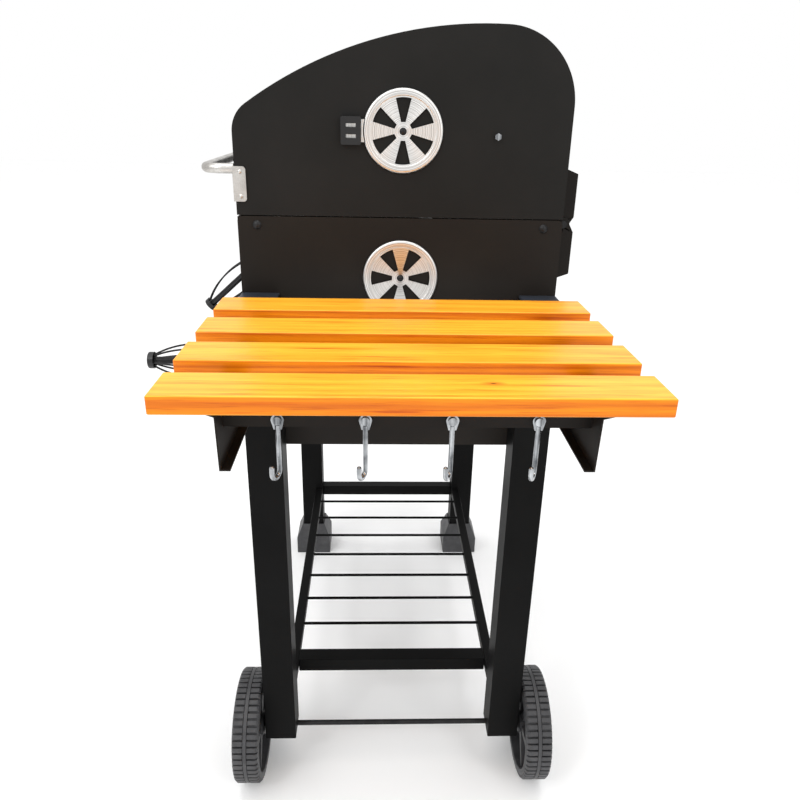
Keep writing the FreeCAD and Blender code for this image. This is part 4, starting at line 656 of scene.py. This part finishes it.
@dataclass
class CartWheel:
    """Moulded wheel: two rows of cross lugs beside a smooth rib, and a spoked centre.

    Attributes:
        node: The CAD wheel that it stands for, which also names its body.
        radius: Radius over the lugs.
        width: Width over the lugs.
        groove: Depth of the tread between the lugs.
        rib: Width of the smooth middle rib.
        rib_low: How far the rib stays under the lugs.
        rib_flare: How far the rib widens at its foot.
        rim: Thickness of the rim under the lugs.
        rim_round: Rounding of the rim's inner edge.
        shoulder: The rim's shoulder, as drops from the tread and distances from the face.
        lugs: Lugs in a row.
        lug_share: A lug's share of its pitch.
        lug_flat: The flat share of a lug's width.
        lug_gap: Gap between a lug and the rib.
        lug_inset: How far a lug stays behind the wheel's face.
        lug_low: How far a lug's top stays under the wheel's radius.
        lug_bevel: Bevel of a lug's top.
        lug_root: How far a lug reaches into the rim.
        lug_shoulder: A lug's shoulder, as drops from its top and distances from its end.
        lug_foot: Drop and distance from its end of the lug's lowest corner.
        hub: Radius of the hub.
        hub_round: Chamfer of the hub's ends.
        bore: Radius of the axle's hole.
        inset: How far hub and rim stay behind the wheel's face.
        web: Half the thickness of the web between hub and rim.
        bite: How far web and spokes reach into hub and rim.
        spokes: Number of spokes.
        spoke_inset: How far a spoke stays behind the wheel's face.
        spoke_half: Half a spoke's width at the hub and at the rim.
    """

    node: str
    radius: float = 85.0 * MM
    width: float = 40.0 * MM
    groove: float = 4.5 * MM
    rib: float = 5.0 * MM
    rib_low: float = 0.3 * MM
    rib_flare: float = 0.6 * MM
    rim: float = 15.0 * MM
    rim_round: float = 1.2 * MM
    shoulder: tuple[tuple[float, float], ...] = ((3.0 * MM, 0.2 * MM), (0.8 * MM, 1.6 * MM),
                                                 (0.0, 4.0 * MM))
    lugs: int = 54
    lug_share: float = 0.74
    lug_flat: float = 0.8
    lug_gap: float = 0.5 * MM
    lug_inset: float = 0.4 * MM
    lug_low: float = 0.05 * MM
    lug_bevel: float = 0.8 * MM
    lug_root: float = 1.5 * MM
    lug_shoulder: tuple[tuple[float, float], ...] = ((0.0, 3.5 * MM), (2.2 * MM, 0.9 * MM),
                                                     (8.5 * MM, 0.0))
    lug_foot: tuple[float, float] = (7.0 * MM, 2.5 * MM)
    hub: float = 17.0 * MM
    hub_round: float = 2.0 * MM
    bore: float = 4.1 * MM
    inset: float = 1.0 * MM
    web: float = 2.0 * MM
    bite: float = 1.0 * MM
    spokes: int = 6
    spoke_inset: float = 6.0 * MM
    spoke_half: tuple[float, float] = (6.0 * MM, 4.0 * MM)

    def build(self) -> None:
        """Make the tread, the lugs and the spoked centre, and ride them on the wheel."""
        low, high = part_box(self.node)
        centre = (low + high) / 2
        work = bmesh.new()
        self.add_tread(work, centre)
        self.add_lugs(work, centre)
        self.add_centre(work, centre)
        piece = new_piece(f"{self.node}_tread", mesh_from(self.node, work), WHEEL_PLASTIC)
        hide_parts(self.node)
        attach(piece, self.node)

    def add_tread(self, work: bmesh.types.BMesh, centre: Vector) -> None:
        """Add the rim with its smooth middle rib.

        Args:
            work: The working mesh.
            centre: The wheel's centre.
        """
        half, rib = self.width / 2, self.rib / 2
        base, top = self.radius - self.groove, self.radius - self.rib_low
        inner = self.radius - self.rim
        side = [(inner, half - self.inset), (inner + self.rim_round, half)]
        side += [(base - drop, half - back) for drop, back in self.shoulder]
        side += [(base, rib + self.rib_flare), (top, rib)]
        profile = [(r, -y) for r, y in side] + side[::-1]
        lathe(work, profile, TREAD_STEPS, centre)

    def add_lugs(self, work: bmesh.types.BMesh, centre: Vector) -> None:
        """Add both rows of lugs, in line with each other.

        Args:
            work: The working mesh.
            centre: The wheel's centre.
        """
        inside = self.rib / 2 + self.lug_gap
        outside = self.width / 2 - self.lug_inset
        for side in (-1, 1):
            for count in range(self.lugs):
                middle = 2 * math.pi * count / self.lugs
                self.add_lug(work, centre, middle, (side * inside, side * outside))

    def add_lug(self, work: bmesh.types.BMesh, centre: Vector, middle: float,
                ends: tuple[float, float]) -> None:
        """Add one lug that wraps over the shoulder.

        Args:
            work: The working mesh.
            centre: The wheel's centre.
            middle: The lug's angle round the wheel.
            ends: Its end beside the rib and its end at the wheel's face.
        """
        inside, outside = ends
        reach = math.pi / self.lugs * self.lug_share
        top = self.radius - self.lug_low
        tread = self.radius - self.groove
        deep = tread - self.lug_root
        toward = 1 if outside > inside else -1
        foot_drop, foot_back = self.lug_foot
        outline = [(deep, inside), (top - self.lug_bevel, inside),
                   (top, inside + toward * self.lug_bevel)]
        outline += [(top - drop, outside - toward * back) for drop, back in self.lug_shoulder]
        outline += [(deep - foot_drop, outside - toward * foot_back)]
        rows = []
        for share, lower in ((-1.0, self.lug_bevel), (-self.lug_flat, 0.0),
                             (self.lug_flat, 0.0), (1.0, self.lug_bevel)):
            angle = middle + reach * share
            spoke = Vector((math.cos(angle), 0.0, math.sin(angle)))
            rows.append([work.verts.new(centre + Axis.Y.vector * y
                                        + spoke * (r - (lower if r > tread else 0.0)))
                         for r, y in outline])
        close_rows(work, rows, rows[1:])
        work.faces.new(rows[0])
        work.faces.new(rows[-1])

    def add_centre(self, work: bmesh.types.BMesh, centre: Vector) -> None:
        """Add the hub, the thin web and the spokes.

        Args:
            work: The working mesh.
            centre: The wheel's centre.
        """
        end = self.width / 2 - self.inset
        inner = self.radius - self.rim
        hub_side = [(self.bore, end), (self.hub - self.hub_round, end),
                    (self.hub, end - self.hub_round)]
        lathe(work, hub_side + [(r, -y) for r, y in hub_side[::-1]], HUB_STEPS, centre)
        web_side = [(self.hub - self.bite, self.web), (inner + self.bite, self.web)]
        lathe(work, web_side + [(r, -y) for r, y in web_side[::-1]], WEB_STEPS, centre)
        for count in range(self.spokes):
            self.add_spoke(work, centre, 2 * math.pi * count / self.spokes)

    def add_spoke(self, work: bmesh.types.BMesh, centre: Vector, angle: float) -> None:
        """Add one tapered spoke from the hub to the rim.

        Args:
            work: The working mesh.
            centre: The wheel's centre.
            angle: The spoke's angle round the wheel.
        """
        turn = Matrix.Rotation(-angle, 4, "Y")
        half = self.width / 2 - self.spoke_inset
        reach = self.radius - self.rim
        rows = [[work.verts.new(centre + turn @ Vector((r, y, side * wide)))
                 for y, side in ((-half, -1), (half, -1), (half, 1), (-half, 1))]
                for r, wide in zip((self.hub - self.bite, reach + self.bite), self.spoke_half)]
        close_rows(work, rows, rows[1:])
        for row in rows:
            work.faces.new(row)


@dataclass
class FireBody:
    """Sheet-steel body, lid and what hangs on them.

    Attributes:
        plates: The lid's coated nodes.
        walls: The body's coated nodes.
        discs: The vents' turning discs.
        black_steel: Fasteners and wire with a black-oxide finish.
        bracket_round_mm: Rounding of the hinge brackets.
        grip_round_mm: Rounding of the vents' grips.
    """

    plates: tuple[str, ...] = ("lid_side_near", "lid_side_far", "lid_skin")
    walls: tuple[str, ...] = ("body_side_near", "body_side_far", "body_front", "body_back",
                              "body_floor", "grate_ledges", "charcoal_door", "door_hinges",
                              "hinge_upper_brackets", "hinge_lower_brackets",
                              "lift_pivot_brackets")
    discs: tuple[str, ...] = ("lid_vent_disc", "body_vent_disc")
    black_steel: tuple[str, ...] = ("frame_bolts", "lid_vent_bolt", "body_vent_bolt",
                                    "hinge_pins", "door_handle_cage", "tray_lift_frame",
                                    "lift_handle_cage", "axle")
    bracket_round_mm: float = 0.8
    grip_round_mm: float = 0.5

    def build(self) -> None:
        """Dress the body, the lid, their vents and their fasteners."""
        paint(self.plates, COAT)
        paint(self.walls, BODY_COAT)
        paint(("lid_handle_bar", "handle_brackets", "handle_rivets"), STAINLESS)
        for name in self.discs:
            low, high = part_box(name.replace("disc", "bolt"))
            middle = (low + high) / 2
            paint((name,), SpunSteel(name=f"spun_stainless_{name}", centre=tuple(middle)))
        paint(("lid_vent_grip", "body_vent_grip", "door_handle_cap", "lift_handle_cap"),
              GRIP_PLASTIC)
        paint(self.black_steel, BLACK_OXIDE)
        paint(("rack_pivot_bolts",), ZINC)
        soften(("hinge_upper_brackets", "hinge_lower_brackets"), self.bracket_round_mm)
        soften(("lid_vent_grip", "body_vent_grip"), self.grip_round_mm)


@dataclass
class Inside:
    """What the lid and the doors hide: tray, drawer, grate and rack."""

    def build(self) -> None:
        """Dress the inner pieces."""
        paint(("charcoal_tray", "ash_drawer"), GALVANISED)
        paint(("cooking_grate", "warming_rack", "rack_links"), GRATE_PLATE)


@dataclass
class Cart:
    """Legs, lower rack, feet and wheels.

    Attributes:
        tube_round_mm: Rounding of the square tubes.
        rail_round_mm: Rounding of the rack's rails.
        cap_round_mm: Rounding of the leg caps.
        boot_round_mm: Rounding of the feet.
        legs: The legs' nodes.
    """

    tube_round_mm: float = 2.0
    rail_round_mm: float = 1.2
    cap_round_mm: float = 1.0
    boot_round_mm: float = 2.0
    legs: tuple[str, ...] = ("leg_near_front", "leg_near_back", "leg_far_front", "leg_far_back")

    def build(self) -> None:
        """Dress the cart and make its wheels."""
        paint(self.legs, TUBE_COAT)
        paint(("rack_frame", "rack_wires"), TUBE_COAT)
        soften(self.legs, self.tube_round_mm, 3)
        soften(("rack_frame",), self.rail_round_mm)
        paint(("leg_caps",), CAP_PLASTIC)
        soften(("leg_caps",), self.cap_round_mm)
        paint(("boots", "axle_caps"), WHEEL_PLASTIC)
        soften(("boots",), self.boot_round_mm, 3)
        for node in ("wheel_front", "wheel_back"):
            CartWheel(node).build()


@dataclass
class Shelf:
    """Four varnished boards on two bent brackets, with hooks under the outer edge.

    Attributes:
        hearts: Where each board's tree had its heart, off the board's middle, in metres.
        knot_board: The number of the board with a knot.
        knot: The knot's place off that board's middle, in metres.
        edge_round_mm: Rounding of the sawn edges.
    """

    hearts: tuple[tuple[float, float, float], ...] = (
        (0.03, -0.35, -0.06), (-0.05, 0.35, -0.045), (0.045, -0.35, -0.07), (-0.02, 0.35, -0.05))
    knot_board: int = 4
    knot: tuple[float, float] = (-0.005, 0.066)
    edge_round_mm: float = 0.4

    def build(self) -> None:
        """Dress the boards, brackets and hooks."""
        for number, off in enumerate(self.hearts, 1):
            name = f"shelf_slat_{number}"
            low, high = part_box(name)
            middle = (low + high) / 2
            knot = None
            if number == self.knot_board:
                knot = (middle.x + self.knot[0], middle.y + self.knot[1], high.z)
            wood = VarnishedWood(name=f"varnished_pine_{number}",
                                 heart=tuple(middle + Vector(off)), knot=knot)
            paint((name,), wood)
            soften((name,), self.edge_round_mm, 1)
        paint(("shelf_bracket_front", "shelf_bracket_back", "shelf_crossbar"), BODY_COAT)
        paint(("hook_1", "hook_2", "hook_3", "hook_4", "shelf_screws"), ZINC)


@dataclass(frozen=True)
class SoftBox:
    """One square soft light.

    Attributes:
        name: The light's name.
        spot: Where it hangs, in metres.
        power: Its power in watts.
        size: Its width in metres.
    """

    name: str
    spot: tuple[float, float, float]
    power: float
    size: float

    def hang(self, aim: Vector) -> None:
        """Hang the light so that it points at a place.

        Args:
            aim: The place that it points at.
        """
        light = bpy.data.lights.new(self.name, "AREA")
        light.energy = self.power
        light.size = self.size
        lamp = bpy.data.objects.new(self.name, light)
        lamp.location = self.spot
        away = aim - Vector(self.spot)
        lamp.rotation_euler = away.to_track_quat("-Z", "Y").to_euler()
        bpy.context.scene.collection.objects.link(lamp)


@dataclass
class Studio:
    """Pale floor, soft lights and the camera.

    Attributes:
        eye: The camera's place, in metres.
        yaw: Its turn to the right of the -X direction, in radians.
        pitch: How far it looks down, in radians.
        roll: How far it leans, in radians.
        lens_mm: Its focal length.
        sensor_mm: Its sensor's width.
        floor_half: Half the floor's width, in metres.
        aim: What the lights point at, in metres.
        lights: The soft lights.
    """

    eye: tuple[float, float, float] = (1.0271, 0.0141, 1.0078)
    yaw: float = 0.0386
    pitch: float = 0.3921
    roll: float = 0.021
    lens_mm: float = 32.13
    sensor_mm: float = 36.0
    floor_half: float = 12.0
    aim: tuple[float, float, float] = (0.0, 0.0, 0.7)
    lights: tuple[SoftBox, ...] = (
        SoftBox("key", (1.2, -1.6, 2.4), 14.0, 1.6),
        SoftBox("fill", (1.4, 2.0, 1.7), 4.0, 1.8),
        SoftBox("top", (0.1, 0.0, 3.2), 30.0, 2.0),
        SoftBox("left_spark", (1.9, -1.3, 2.3), 7.0, 0.3),
        SoftBox("right_spark", (1.9, 1.5, 1.9), 5.0, 0.3),
    )

    def build(self) -> None:
        """Set up the floor, the lights and the camera."""
        self.floor()
        self.sky()
        for light in self.lights:
            light.hang(Vector(self.aim))
        self.camera()

    def floor(self) -> None:
        """Lay a large pale sheet under the cart."""
        work = bmesh.new()
        bmesh.ops.create_grid(work, x_segments=2, y_segments=2, size=self.floor_half)
        sheet = new_piece("studio_floor", mesh_from("studio_floor", work), StudioPaper())

    def sky(self) -> None:
        """Fill the room with even white light."""
        world = bpy.data.worlds.new("studio_light")
        world.use_nodes = True
        bpy.context.scene.world = world
        background = world.node_tree.nodes["Background"]
        background.inputs["Color"].default_value = (1.0, 1.0, 1.0, 1.0)
        background.inputs["Strength"].default_value = 1.0

    def camera(self) -> None:
        """Set the camera in front of the shelf, looking down along the grill."""
        forward = Vector((-math.cos(self.yaw) * math.cos(self.pitch),
                          math.sin(self.yaw) * math.cos(self.pitch), -math.sin(self.pitch)))
        level = forward.cross(Axis.Z.vector).normalized()
        upward = level.cross(forward)
        right = math.cos(self.roll) * level + math.sin(self.roll) * upward
        top = -math.sin(self.roll) * level + math.cos(self.roll) * upward
        turn = Matrix((right, top, -forward)).transposed()
        lens = bpy.data.cameras.new("camera")
        lens.lens = self.lens_mm
        lens.sensor_width = self.sensor_mm
        camera = bpy.data.objects.new("camera", lens)
        camera.matrix_world = Matrix.Translation(self.eye) @ turn.to_4x4()
        bpy.context.scene.collection.objects.link(camera)
        bpy.context.scene.camera = camera
        bpy.context.scene.view_settings.view_transform = "Standard"


def main() -> None:
    """Build the cart's looks in order."""
    logging.basicConfig(level=logging.INFO, format="%(message)s")
    for group in (Studio(), FireBody(), Inside(), Cart(), Shelf()):
        LOG.info("building %s", type(group).__name__)
        group.build()


if __name__ == "__main__":
    main()
